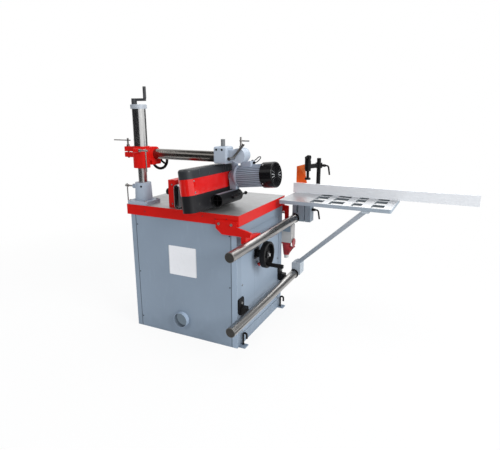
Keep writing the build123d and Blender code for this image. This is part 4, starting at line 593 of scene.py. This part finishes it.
def hexagon_head(across_flats, height, collar):
    """A hexagon head on a round washer face, standing on the origin."""
    head = cylinder(6, across_flats / math.sqrt(3), collar, height)
    pick(head, "EDGE", lambda middle, way: middle.z > collar + height * 0.99)
    bpy.ops.mesh.bevel(offset=height * 0.12, segments=2)
    bpy.ops.mesh.primitive_cylinder_add(vertices=24, radius=across_flats * 0.62, depth=collar,
                                        location=(0.0, 0.0, collar / 2))
    bpy.ops.object.mode_set(mode="OBJECT")
    return head


black_plastic = moulded("black_plastic", (0.008, 0.008, 0.009), rough=0.42)
red_plastic = moulded("red_plastic", (0.55, 0.02, 0.018), rough=0.3, speckle=0.00005, gloss=0.3)
dress(black_plastic, "handwheel")
dress(red_plastic, "stop_button")
hub_face = 0.486
grip_radius = 0.066
nut_steel = metal("nut_steel", (0.55, 0.56, 0.57), rough=0.24, grain_scale=400.0)
wheel_nut = hexagon_head(across_flats=0.019, height=0.009, collar=0.003)
wheel_spot = ((hub_face, wheel_y, wheel_z), rightwards)
repeat(wheel_nut, "handwheel_nut", [wheel_spot], "handwheel", nut_steel)
grip_screw = round_head(radius=0.0062, height=0.002, dome=0.001, recess=0.001)
grip_spot = ((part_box("handwheel")[1].x, wheel_y, wheel_z - grip_radius), rightwards)
repeat(grip_screw, "grip_screw", [grip_spot], "handwheel", nut_steel)

# Fence: a hood of red painted steel sheet behind the spindle and two pale extruded alloy faces.
# Two screws sit in the hood's front, and a black moulded knob sets the fence.
red_paint = paint("red_paint", rim_red, rough=0.3, mottle=0.05, peel=0.00007)
fence_alloy = metal("fence_alloy", (0.46, 0.47, 0.48), rough=0.36, grain_scale=420.0,
                    grain_way=(1.0, 0.03, 1.0), grain_depth=0.00003, streak=0.06, tarnish=0.06)
dress(red_paint, "fence_hood")
dress(fence_alloy, "fence_profiles")
dress(black_plastic, "fence_knob")
hood_low, hood_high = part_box("fence_hood")
hood_middle = (hood_low.x + hood_high.x) / 2
hood_rows = (0.875, 0.995)
hood_spots = [((hood_middle, hood_low.y, z), forwards) for z in hood_rows]
hood_screw = round_head(radius=0.0055, height=0.003, dome=0.0016, recess=0.0012)
repeat(hood_screw, "hood_screws", hood_spots, "fence", rivet_steel)

# Guide bars: two round steel bars, ground and polished, with dull sawn ends.
# Red painted brackets hold the upper bar and black ones the lower, with bright zinc hexagon bolts.
bar_steel = Finish("bar_steel")
turned = bar_steel.noise(scale=330.0, detail=3.0, where=bar_steel.stretched(1.0, 0.03, 1.0))
oil = bar_steel.between(bar_steel.noise(scale=7.0, detail=5.0), 0.4, 0.7)
bar_end = bar_steel.between(abs(bar_steel.facing("Y")), 0.6, 0.8)
turned_share = bar_steel.between(turned, 0.3, 0.7)
bright = bar_steel.mix(turned_share, (0.29, 0.285, 0.28, 1.0), (0.41, 0.405, 0.395, 1.0))
bright = bar_steel.mix(oil * 0.35, bright, (0.24, 0.225, 0.205, 1.0))
saw_marks = bar_steel.noise(scale=150.0, detail=4.0)
sawn = bar_steel.mix(saw_marks, (0.030, 0.029, 0.027, 1.0), (0.066, 0.063, 0.057, 1.0))
bar_steel.feed(Base_Color=bar_steel.mix(bar_end, bright, sawn), Metallic=1.0 - 0.6 * bar_end,
               Roughness=0.27 + 0.08 * oil + 0.34 * bar_end, Normal=bar_steel.bump(turned, 0.000015))
zinc = metal("zinc", (0.56, 0.57, 0.56), rough=0.3, grain_scale=300.0)
dress(bar_steel, "guide_bars")
dress(red_paint, "upper_bar_brackets")
dress(black_paint, "lower_bar_brackets")
dress(zinc, "frame_bolts")

# Sliding plate: cast alloy, milled on top with its edges painted, on a painted carriage and a strut that
# run on the bars. A black rubber wiper closes each runner where it meets its bar, and a black moulded
# lever locks the carriage.
slide_alloy = Finish("slide_alloy")
milled = slide_alloy.noise(scale=240.0, detail=3.0, where=slide_alloy.stretched(0.05, 1.0, 1.0))
worn = slide_alloy.between(slide_alloy.noise(scale=5.0, detail=6.0), 0.4, 0.7)
milled_share = slide_alloy.between(milled, 0.3, 0.7)
milled_tone = slide_alloy.mix(milled_share, (0.44, 0.455, 0.475, 1.0), (0.56, 0.575, 0.595, 1.0))
milled_tone = slide_alloy.mix(worn * 0.18, milled_tone, (0.45, 0.43, 0.42, 1.0))
edge_colour = (0.33, 0.39, 0.45)
edge_drift = slide_alloy.between(slide_alloy.noise(scale=3.0, detail=4.0), 0.3, 0.7)
edge_tone = slide_alloy.mix(edge_drift, shade(edge_colour, 0.93), shade(edge_colour, 1.07))
flat_top = slide_alloy.between(slide_alloy.facing("Z"), 0.9, 0.95)
slide_low, slide_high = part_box("sliding_plate")
edge_depth = 0.004
slide_x = slide_alloy.along("X")
slide_y = slide_alloy.along("Y")
inside_x = (slide_x > slide_low.x + edge_depth) * (slide_x < slide_high.x - edge_depth)
inside_y = (slide_y > slide_low.y + edge_depth) * (slide_y < slide_high.y - edge_depth)
# The walls inside the slots are painted dark, as painted shade in the slots.
slot_wall_shade = inside_x * inside_y
edge_tone = slide_alloy.mix(slot_wall_shade, edge_tone, (0.11, 0.13, 0.145, 1.0))
slide_alloy.feed(Base_Color=slide_alloy.mix(flat_top, edge_tone, milled_tone), Metallic=0.8 * flat_top,
                 Roughness=0.42 - 0.1 * flat_top + 0.08 * worn, Normal=slide_alloy.bump(milled, 0.00003))
carriage_paint = paint("carriage_paint", (0.30, 0.36, 0.42), rough=0.4)
strut_paint = paint("strut_paint", (0.46, 0.51, 0.56), rough=0.4, mottle=0.05)
dress(slide_alloy, "sliding_plate")
dress(carriage_paint, "slide_carriage")
dress(strut_paint, "strut_shoe", "support_strut")
dress(black_plastic, "carriage_lever")
bar_x = 0.473
wiper_inner = 0.0306
wiper_thick = 0.013
wiper_cut = 0.4525
wiper_rubber = moulded("wiper_rubber", (0.012, 0.012, 0.013), rough=0.55)


def wiper(name, y, z, outer):
    """A rubber ring round a bar that runs along Y, open on its left, where the bar's brackets pass."""
    bpy.ops.object.select_all(action="DESELECT")
    bpy.ops.mesh.primitive_cylinder_add(vertices=48, radius=outer, depth=wiper_thick,
                                        location=(bar_x, y, z), rotation=(math.pi / 2, 0.0, 0.0))
    ring = bpy.context.object
    bpy.ops.object.transform_apply(location=True, rotation=True, scale=False)
    pick(ring, "FACE", lambda middle, normal: abs(normal.y) > 0.9)
    bpy.ops.mesh.inset(thickness=outer - wiper_inner)
    bpy.ops.mesh.bridge_edge_loops()
    bpy.ops.mesh.select_all(action="SELECT")
    bpy.ops.mesh.bisect(plane_co=(wiper_cut, 0.0, 0.0), plane_no=rightwards, use_fill=True, clear_inner=True)
    bpy.ops.object.mode_set(mode="OBJECT")
    rounding = ring.modifiers.new("rounding", "BEVEL")
    rounding.width = wiper_thick * 0.12
    rounding.segments = 2
    rounding.limit_method = "ANGLE"
    bpy.ops.object.modifier_apply(modifier="rounding")
    settle(ring, name, "sliding_table", wiper_rubber)


wiper("shoe_wiper", y=0.4475, z=0.231, outer=0.0360)
wiper("carriage_wiper", y=0.4335, z=0.673, outer=0.0350)

# Cross fence: a long hollow alloy extrusion with a fine drawn grain and a pale matt skin.
# It stands on the sliding plate.
cross_alloy = metal("cross_alloy", (0.84, 0.86, 0.89), rough=0.36, grain_scale=420.0,
                    grain_way=(0.03, 1.0, 1.0), grain_depth=0.00003, streak=0.04, tarnish=0.04,
                    bare_share=0.1)
dress(cross_alloy, "cross_fence")

# Hand guard: an orange sheet with a light gloss, folded towards the spindle.
# The part above the slanting fold is painted paler, as a highlight where that face catches the light.
fold_slope = 1.16
fold_x = 0.452
fold_start = 1.0392
fold_end = 1.0408
guard_orange = Finish("guard_orange")
fold_height = guard_orange.along("Z") + fold_slope * (guard_orange.along("X") - fold_x)
lit_fold_face = guard_orange.between(fold_height, fold_start, fold_end)
guard_drift = guard_orange.between(guard_orange.noise(scale=7.0, detail=4.0), 0.35, 0.7)
guard_grain = guard_orange.noise(scale=900.0, detail=2.0)
guard_tone = guard_orange.mix(guard_drift, (0.80, 0.10, 0.008, 1.0), (0.88, 0.125, 0.011, 1.0))
guard_orange.feed(Base_Color=guard_orange.mix(lit_fold_face * 0.6, guard_tone, (0.95, 0.24, 0.06, 1.0)),
                  Roughness=0.32 + 0.1 * guard_drift, Normal=guard_orange.bump(guard_grain, 0.00004),
                  Coat_Weight=0.25, Coat_Roughness=0.12)
dress(guard_orange, "guard_plate")

# Hold-down: a black painted steel post and arm, with a cam lever that presses a round pad down.
# A black moulded ratchet lever locks the arm on the post.
clamp_black = paint("clamp_black", (0.010, 0.010, 0.011), rough=0.34, mottle=0.15, peel=0.0001)
dress(clamp_black, "clamp_post", "clamp_arm", "clamp_cam", "clamp_plunger")
dress(black_plastic, "clamp_lever")

# Switch box: a pale grey moulded case with a conduit loop, behind the cabinet.
# A tinted window plate lies on its front, and four small screws close its right side.
box_grey = moulded("box_grey", (0.50, 0.49, 0.48), rough=0.45, speckle=0.00008)
dress(box_grey, "switch_box")
window_grey = moulded("window_grey", (0.21, 0.27, 0.33), rough=0.22, speckle=0.00003, gloss=0.4)
window_x = 0.440
window_z = 0.604
window_size = (0.058, 0.0016, 0.044)
box_low, box_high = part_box("switch_box")
window = flat_plate((window_x, box_low.y - window_size[1] / 2, window_z), window_size,
                    corner=0.004, corner_steps=3)
settle(window, "box_window", "machine", window_grey)
box_columns = (0.370, 0.428)
box_rows = (0.507, 0.622)
box_spots = [((box_high.x, y, z), rightwards) for y in box_columns for z in box_rows]
box_screw = round_head(radius=0.0042, height=0.002, dome=0.0012, recess=0.0008)
repeat(box_screw, "box_screws", box_spots, "machine", rivet_steel)

# Mains inlet: a dark red moulded body and lid under the switch box.
# A pale ring nut closes the cable entry at its lower end.
nut_full = 0.3965
nut_end = 0.3975
inlet_red = Finish("inlet_red")
ring_nut = inlet_red.between(inlet_red.along("Z"), nut_full, nut_end, 1.0, 0.0)
inlet_grain = inlet_red.noise(scale=800.0, detail=2.0)
inlet_drift = inlet_red.noise(scale=9.0, detail=4.0)
inlet_tone = inlet_red.mix(inlet_drift, (0.30, 0.012, 0.018, 1.0), (0.42, 0.02, 0.028, 1.0))
inlet_red.feed(Base_Color=inlet_red.mix(ring_nut, inlet_tone, (0.62, 0.62, 0.61, 1.0)),
               Roughness=0.36 + 0.08 * inlet_grain, Normal=inlet_red.bump(inlet_grain, 0.00008))
dress(inlet_red, "power_inlet", "inlet_lid")

# Stand of the feeder: a pale painted iron base on the table, with a black plug in its front.
# A chromed tube telescopes on a polished steel post, under an alloy cap and a dark grey crank.
# A chromed T-handle locks the base.
feeder_colour = (0.36, 0.42, 0.50)
drawn_upright = (1.0, 1.0, 0.05)
feeder_paint = paint("feeder_paint", feeder_colour, rough=0.36, mottle=0.05, peel=0.00016)
chrome_plate = metal("chrome_plate", (0.58, 0.58, 0.575), rough=0.09, grain_scale=300.0,
                     grain_way=drawn_upright, grain_depth=0.000006, streak=0.03, tarnish=0.05)
post_steel = metal("post_steel", (0.52, 0.52, 0.515), rough=0.16, grain_scale=300.0,
                   grain_way=drawn_upright, grain_depth=0.00001, streak=0.05, tarnish=0.08)
cap_alloy = metal("cap_alloy", (0.44, 0.48, 0.53), rough=0.4, grain_scale=260.0, grain_depth=0.00006,
                  streak=0.08, tarnish=0.1, bare_share=0.2)
crank_grey = paint("crank_grey", (0.055, 0.056, 0.06), rough=0.34, mottle=0.12, peel=0.00012)
lever_chrome = metal("lever_chrome", (0.42, 0.41, 0.40), rough=0.2, grain_scale=300.0,
                     grain_depth=0.00001, streak=0.06)
dress(feeder_paint, "stand_base")
dress(chrome_plate, "stand_tube")
dress(post_steel, "stand_post")
dress(cap_alloy, "stand_cap")
dress(crank_grey, "stand_crank")
dress(lever_chrome, "base_lever")
socket_black = metal("socket_black", (0.03, 0.03, 0.032), rough=0.4, grain_scale=300.0)
column_x = -0.320
column_y = -0.284
plug_z = 0.964
plug_turn = math.radians(22.0)
plug_out = 0.0468
plug_way = (math.sin(plug_turn), -math.cos(plug_turn), 0.0)
plug_spot = (column_x + plug_out * plug_way[0], column_y + plug_out * plug_way[1], plug_z)
plug_screw = round_head(radius=0.0066, height=0.002, dome=0.0006, recess=0.0012)
repeat(plug_screw, "base_plug", [(plug_spot, plug_way)], "machine", socket_black)

# Overarm: a chromed steel tube with a rack below, held across the column by a red painted clamp.
# A black moulded handwheel moves it along, and chromed T-handles lock the clamp.
arm_chrome = metal("arm_chrome", (0.27, 0.255, 0.235), rough=0.14, grain_scale=300.0,
                   grain_way=(0.05, 1.0, 1.0), grain_depth=0.000006, streak=0.03, tarnish=0.05)
dress(arm_chrome, "arm_tube")
dress(red_paint, "cross_bracket")
dress(black_plastic, "arm_handwheel")
dress(lever_chrome, "arm_lever", "column_lever")

# Knuckle: a pale painted casting that clamps the arm and holds the feeder's pin, with chromed levers.
# Two black socket screws are sunk in its front, and a bare steel stub stands on its top.
knuckle_front = -0.240
knuckle_top = 1.228
stub_start = knuckle_top + 0.0004
screw_columns = (0.207, 0.245)
screw_height = 1.210
screw_hole = 0.0073
hole_start = knuckle_front + 0.0003
hole_end = knuckle_front + 0.015
seat_depth = 0.006


def knuckle_stub_and_hole_shade(coat, tone):
    """Bare steel on the stub above the block, and near-black painted shade in the sunk screw holes."""
    x = coat.along("X")
    y = coat.along("Y")
    z = coat.along("Z")
    tone = coat.mix(z > stub_start, tone, (0.20, 0.205, 0.21, 1.0))
    columns = (abs(x - screw_columns[0]) < screw_hole) + (abs(x - screw_columns[1]) < screw_hole)
    # Painted shade, near black, inside the sunk screw holes.
    sunk_hole_shade = columns * (abs(z - screw_height) < screw_hole) * (y > hole_start) * (y < hole_end)
    return coat.mix(sunk_hole_shade, tone, (0.006, 0.006, 0.007, 1.0))


knuckle_paint = paint("knuckle_paint", (0.42, 0.48, 0.56), rough=0.36, mottle=0.04, peel=0.00014,
                      marks=knuckle_stub_and_hole_shade)
dress(knuckle_paint, "knuckle")
dress(lever_chrome, "knuckle_lever", "tilt_lever")
screw_spots = [((x, knuckle_front + seat_depth, screw_height), forwards) for x in screw_columns]
knuckle_screw = round_head(radius=0.0066, height=0.004, dome=0.0006, recess=0.0022)
repeat(knuckle_screw, "knuckle_screws", screw_spots, "knuckle", socket_black)

# Feeder casing: glossy dark covers above and below a glossy red band with a screw near each corner.
# Four black rubber rollers run under it.
casing_paint = paint("casing_paint", (0.034, 0.037, 0.041), rough=0.22, mottle=0.10, peel=0.00004, shine=0.3)
band_paint = paint("band_paint", (0.64, 0.008, 0.006), rough=0.14, mottle=0.04, peel=0.00003, shine=0.35)
band_waves = band_paint.bump(band_paint.noise(scale=34.0, detail=3.0), 0.0016)
band_paint.feed(Normal=band_waves, Coat_Weight=0.7, Coat_Roughness=0.06)
# The lower cover is painted darker than the upper one, as painted shade on its downward face.
shaded_cover_paint = paint("shaded_cover_paint", (0.015, 0.015, 0.017), rough=0.26, mottle=0.10, peel=0.00004, shine=0.2)
dress(casing_paint, "casing_upper")
dress(shaded_cover_paint, "casing_lower")
dress(band_paint, "casing_band")
heading = math.radians(3.5)
roll = math.radians(6.5)
across = Vector((math.cos(heading) * math.cos(roll), -math.sin(heading) * math.cos(roll), math.sin(roll)))
lengthways = Vector((math.sin(heading), math.cos(heading), 0.0))
upward = across.cross(lengthways)
feeder_origin = Vector((0.160, -0.294, 1.011))


def on_feeder(out, along, up):
    """A place given in the feeder's own frame, in metres."""
    return feeder_origin + across * out + lengthways * along + upward * up


band_face = 0.0466
band_columns = (0.232, -0.172)
band_rows = (0.036, -0.030)
band_spots = [(on_feeder(band_face, along, up), across) for along in band_columns for up in band_rows]
band_screw = round_head(radius=0.0050, height=0.0022, dome=0.0012, recess=0.0010)
repeat(band_screw, "band_screws", band_spots, "feeder", rivet_steel)
roller_rubber = Finish("roller_rubber")
ribs = roller_rubber.noise(scale=260.0, detail=3.0)
roller_tone = roller_rubber.mix(ribs, (0.010, 0.010, 0.010, 1.0), (0.028, 0.027, 0.026, 1.0))
roller_rubber.feed(Base_Color=roller_tone, Roughness=0.68 + 0.15 * ribs,
                   Normal=roller_rubber.bump(ribs, 0.0003))
dress(roller_rubber, "feed_roller_1", "feed_roller_2", "feed_roller_3", "feed_roller_4")

# Gearbox: a pale painted bell casting on the casing's right, with a black drum at its lower end.
# A black moulded lever with a ball sets its speed.
drum_full = 0.955
drum_end = 0.962
gear_paint = Finish("gear_paint")
drum = gear_paint.between(gear_paint.along("Z"), drum_full, drum_end, 1.0, 0.0)
gear_drift = gear_paint.between(gear_paint.noise(scale=5.0, detail=4.0), 0.3, 0.7)
bell_tone = gear_paint.mix(gear_drift, shade(feeder_colour, 0.94), shade(feeder_colour, 1.06))
drum_tone = gear_paint.mix(gear_drift, (0.006, 0.006, 0.007, 1.0), (0.012, 0.012, 0.013, 1.0))
gear_peel = gear_paint.noise(scale=500.0, detail=2.0)
gear_paint.feed(Base_Color=gear_paint.mix(drum, bell_tone, drum_tone), Roughness=0.34 + 0.1 * gear_drift,
                Normal=gear_paint.bump(gear_peel, 0.0001), Specular_IOR_Level=0.14)
dress(gear_paint, "gearbox")
dress(black_plastic, "speed_lever")

# Feeder motor: a pale painted casting with fins, with painted shade at their feet, and a screwed terminal
# box on top.
# A black rubber cable loops over it between two black gland nuts on the terminal box.
motor_colour = (0.42, 0.475, 0.56)
motor_along = 0.225
motor_up = 0.010
fin_shade_full = 0.063
fin_shade_end = 0.0685
motor_grey = Finish("motor_grey")
motor_place = motor_grey.place()
aside = motor_grey.dot(motor_place, lengthways) - (feeder_origin.dot(lengthways) + motor_along)
above = motor_grey.dot(motor_place, upward) - (feeder_origin.dot(upward) + motor_up)
axis_square = aside * aside + above * above
# Painted shade between the fins, close to the motor's body.
fin_gap_shade = motor_grey.between(axis_square, fin_shade_full ** 2, fin_shade_end ** 2, 1.0, 0.0)
fin_gap_shade = fin_gap_shade * (motor_grey.dot(motor_grey.normal(), across) < 0.7)
motor_drift = motor_grey.between(motor_grey.noise(scale=4.0, detail=4.0), 0.3, 0.7)
motor_peel = motor_grey.noise(scale=620.0, detail=2.0)
motor_tone = motor_grey.mix(motor_drift, shade(motor_colour, 0.95), shade(motor_colour, 1.05))
motor_grey.feed(Base_Color=motor_grey.mix(fin_gap_shade * 0.5, motor_tone, shade(motor_colour, 0.25)),
                Roughness=0.36 + 0.06 * motor_drift, Normal=motor_grey.bump(motor_peel, 0.0001),
                Specular_IOR_Level=0.14)
cable_rubber = moulded("cable_rubber", (0.012, 0.012, 0.013), rough=0.5)
dress(motor_grey, "feeder_motor")
dress(cable_rubber, "motor_cable")
gland_radius = 0.0088
gland_height = 0.009
gland_step = 0.0018
gland_neck = 0.004
gland_wall = 0.0022
gland_spots = [(on_feeder(0.216, motor_along, 0.090), across), (on_feeder(0.193, 0.255, 0.098), lengthways)]
gland = cylinder(6, gland_radius, 0.0, gland_height)
pick(gland, "FACE", lambda middle, normal: normal.z > 0.9)
bpy.ops.mesh.inset(thickness=gland_step)
extrude(gland_neck)
gland_top = gland_height + gland_neck
end_near = 0.0005
pick(gland, "FACE", lambda middle, normal: middle.z > gland_top - end_near or middle.z < end_near)
bpy.ops.mesh.inset(thickness=gland_wall)
bpy.ops.mesh.bridge_edge_loops()
bpy.ops.object.mode_set(mode="OBJECT")
repeat(gland, "cable_glands", gland_spots, "feeder", black_plastic)
box_top = 0.102
lid_columns = (0.147, 0.208)
lid_rows = (0.203, 0.247)
lid_spots = [(on_feeder(out, along, box_top), upward) for out in lid_columns for along in lid_rows]
lid_screw = round_head(radius=0.0032, height=0.0018, dome=0.001, recess=0.0008)
repeat(lid_screw, "terminal_screws", lid_spots, "feeder", rivet_steel)

# Fan cover: a glossy black cover with a slotted end over the motor's far end, held by four screws.
# A pale alloy fan with a hub stands behind the slots.
fan_black = moulded("fan_black", (0.005, 0.005, 0.006), rough=0.2, speckle=0.00002, gloss=0.25)
dress(fan_black, "fan_cover")
fan_alloy = metal("fan_alloy", (0.80, 0.82, 0.84), rough=0.42, grain_scale=200.0, grain_depth=0.00003,
                  streak=0.05, tarnish=0.05, bare_share=0.2)
fan_radius = 0.069
fan_thick = 0.006
fan_blade = 0.047
hub_length = 0.016
rim_edge = fan_radius - 0.0005
fan_wheel = cylinder(72, fan_radius, -fan_thick, fan_thick)
pick(fan_wheel, "FACE", lambda middle, normal: normal.z < -0.9)
bpy.ops.mesh.inset(thickness=fan_blade)
extrude(-hub_length)
pick(fan_wheel, "EDGE", lambda middle, way: math.hypot(middle.x, middle.y) > rim_edge and abs(way.z) < 0.5)
bpy.ops.mesh.bevel(offset=0.0012, segments=2)
bpy.ops.object.mode_set(mode="OBJECT")
fan_face = 0.365
fan_place = (on_feeder(fan_face, motor_along, motor_up), across)
repeat(fan_wheel, "fan_wheel", [fan_place], "feeder", fan_alloy)
cover_radius = 0.0788
cover_screws_out = 0.302
cover_middle = on_feeder(cover_screws_out, motor_along, motor_up)
fan_spots = []
for turn in (35.0, 125.0, 215.0, 305.0):
    way = lengthways * math.cos(math.radians(turn)) + upward * math.sin(math.radians(turn))
    fan_spots.append((cover_middle + way * cover_radius, way))
fan_screw = round_head(radius=0.0046, height=0.0026, dome=0.0014, recess=0.001)
repeat(fan_screw, "fan_screws", fan_spots, "feeder", nut_steel)
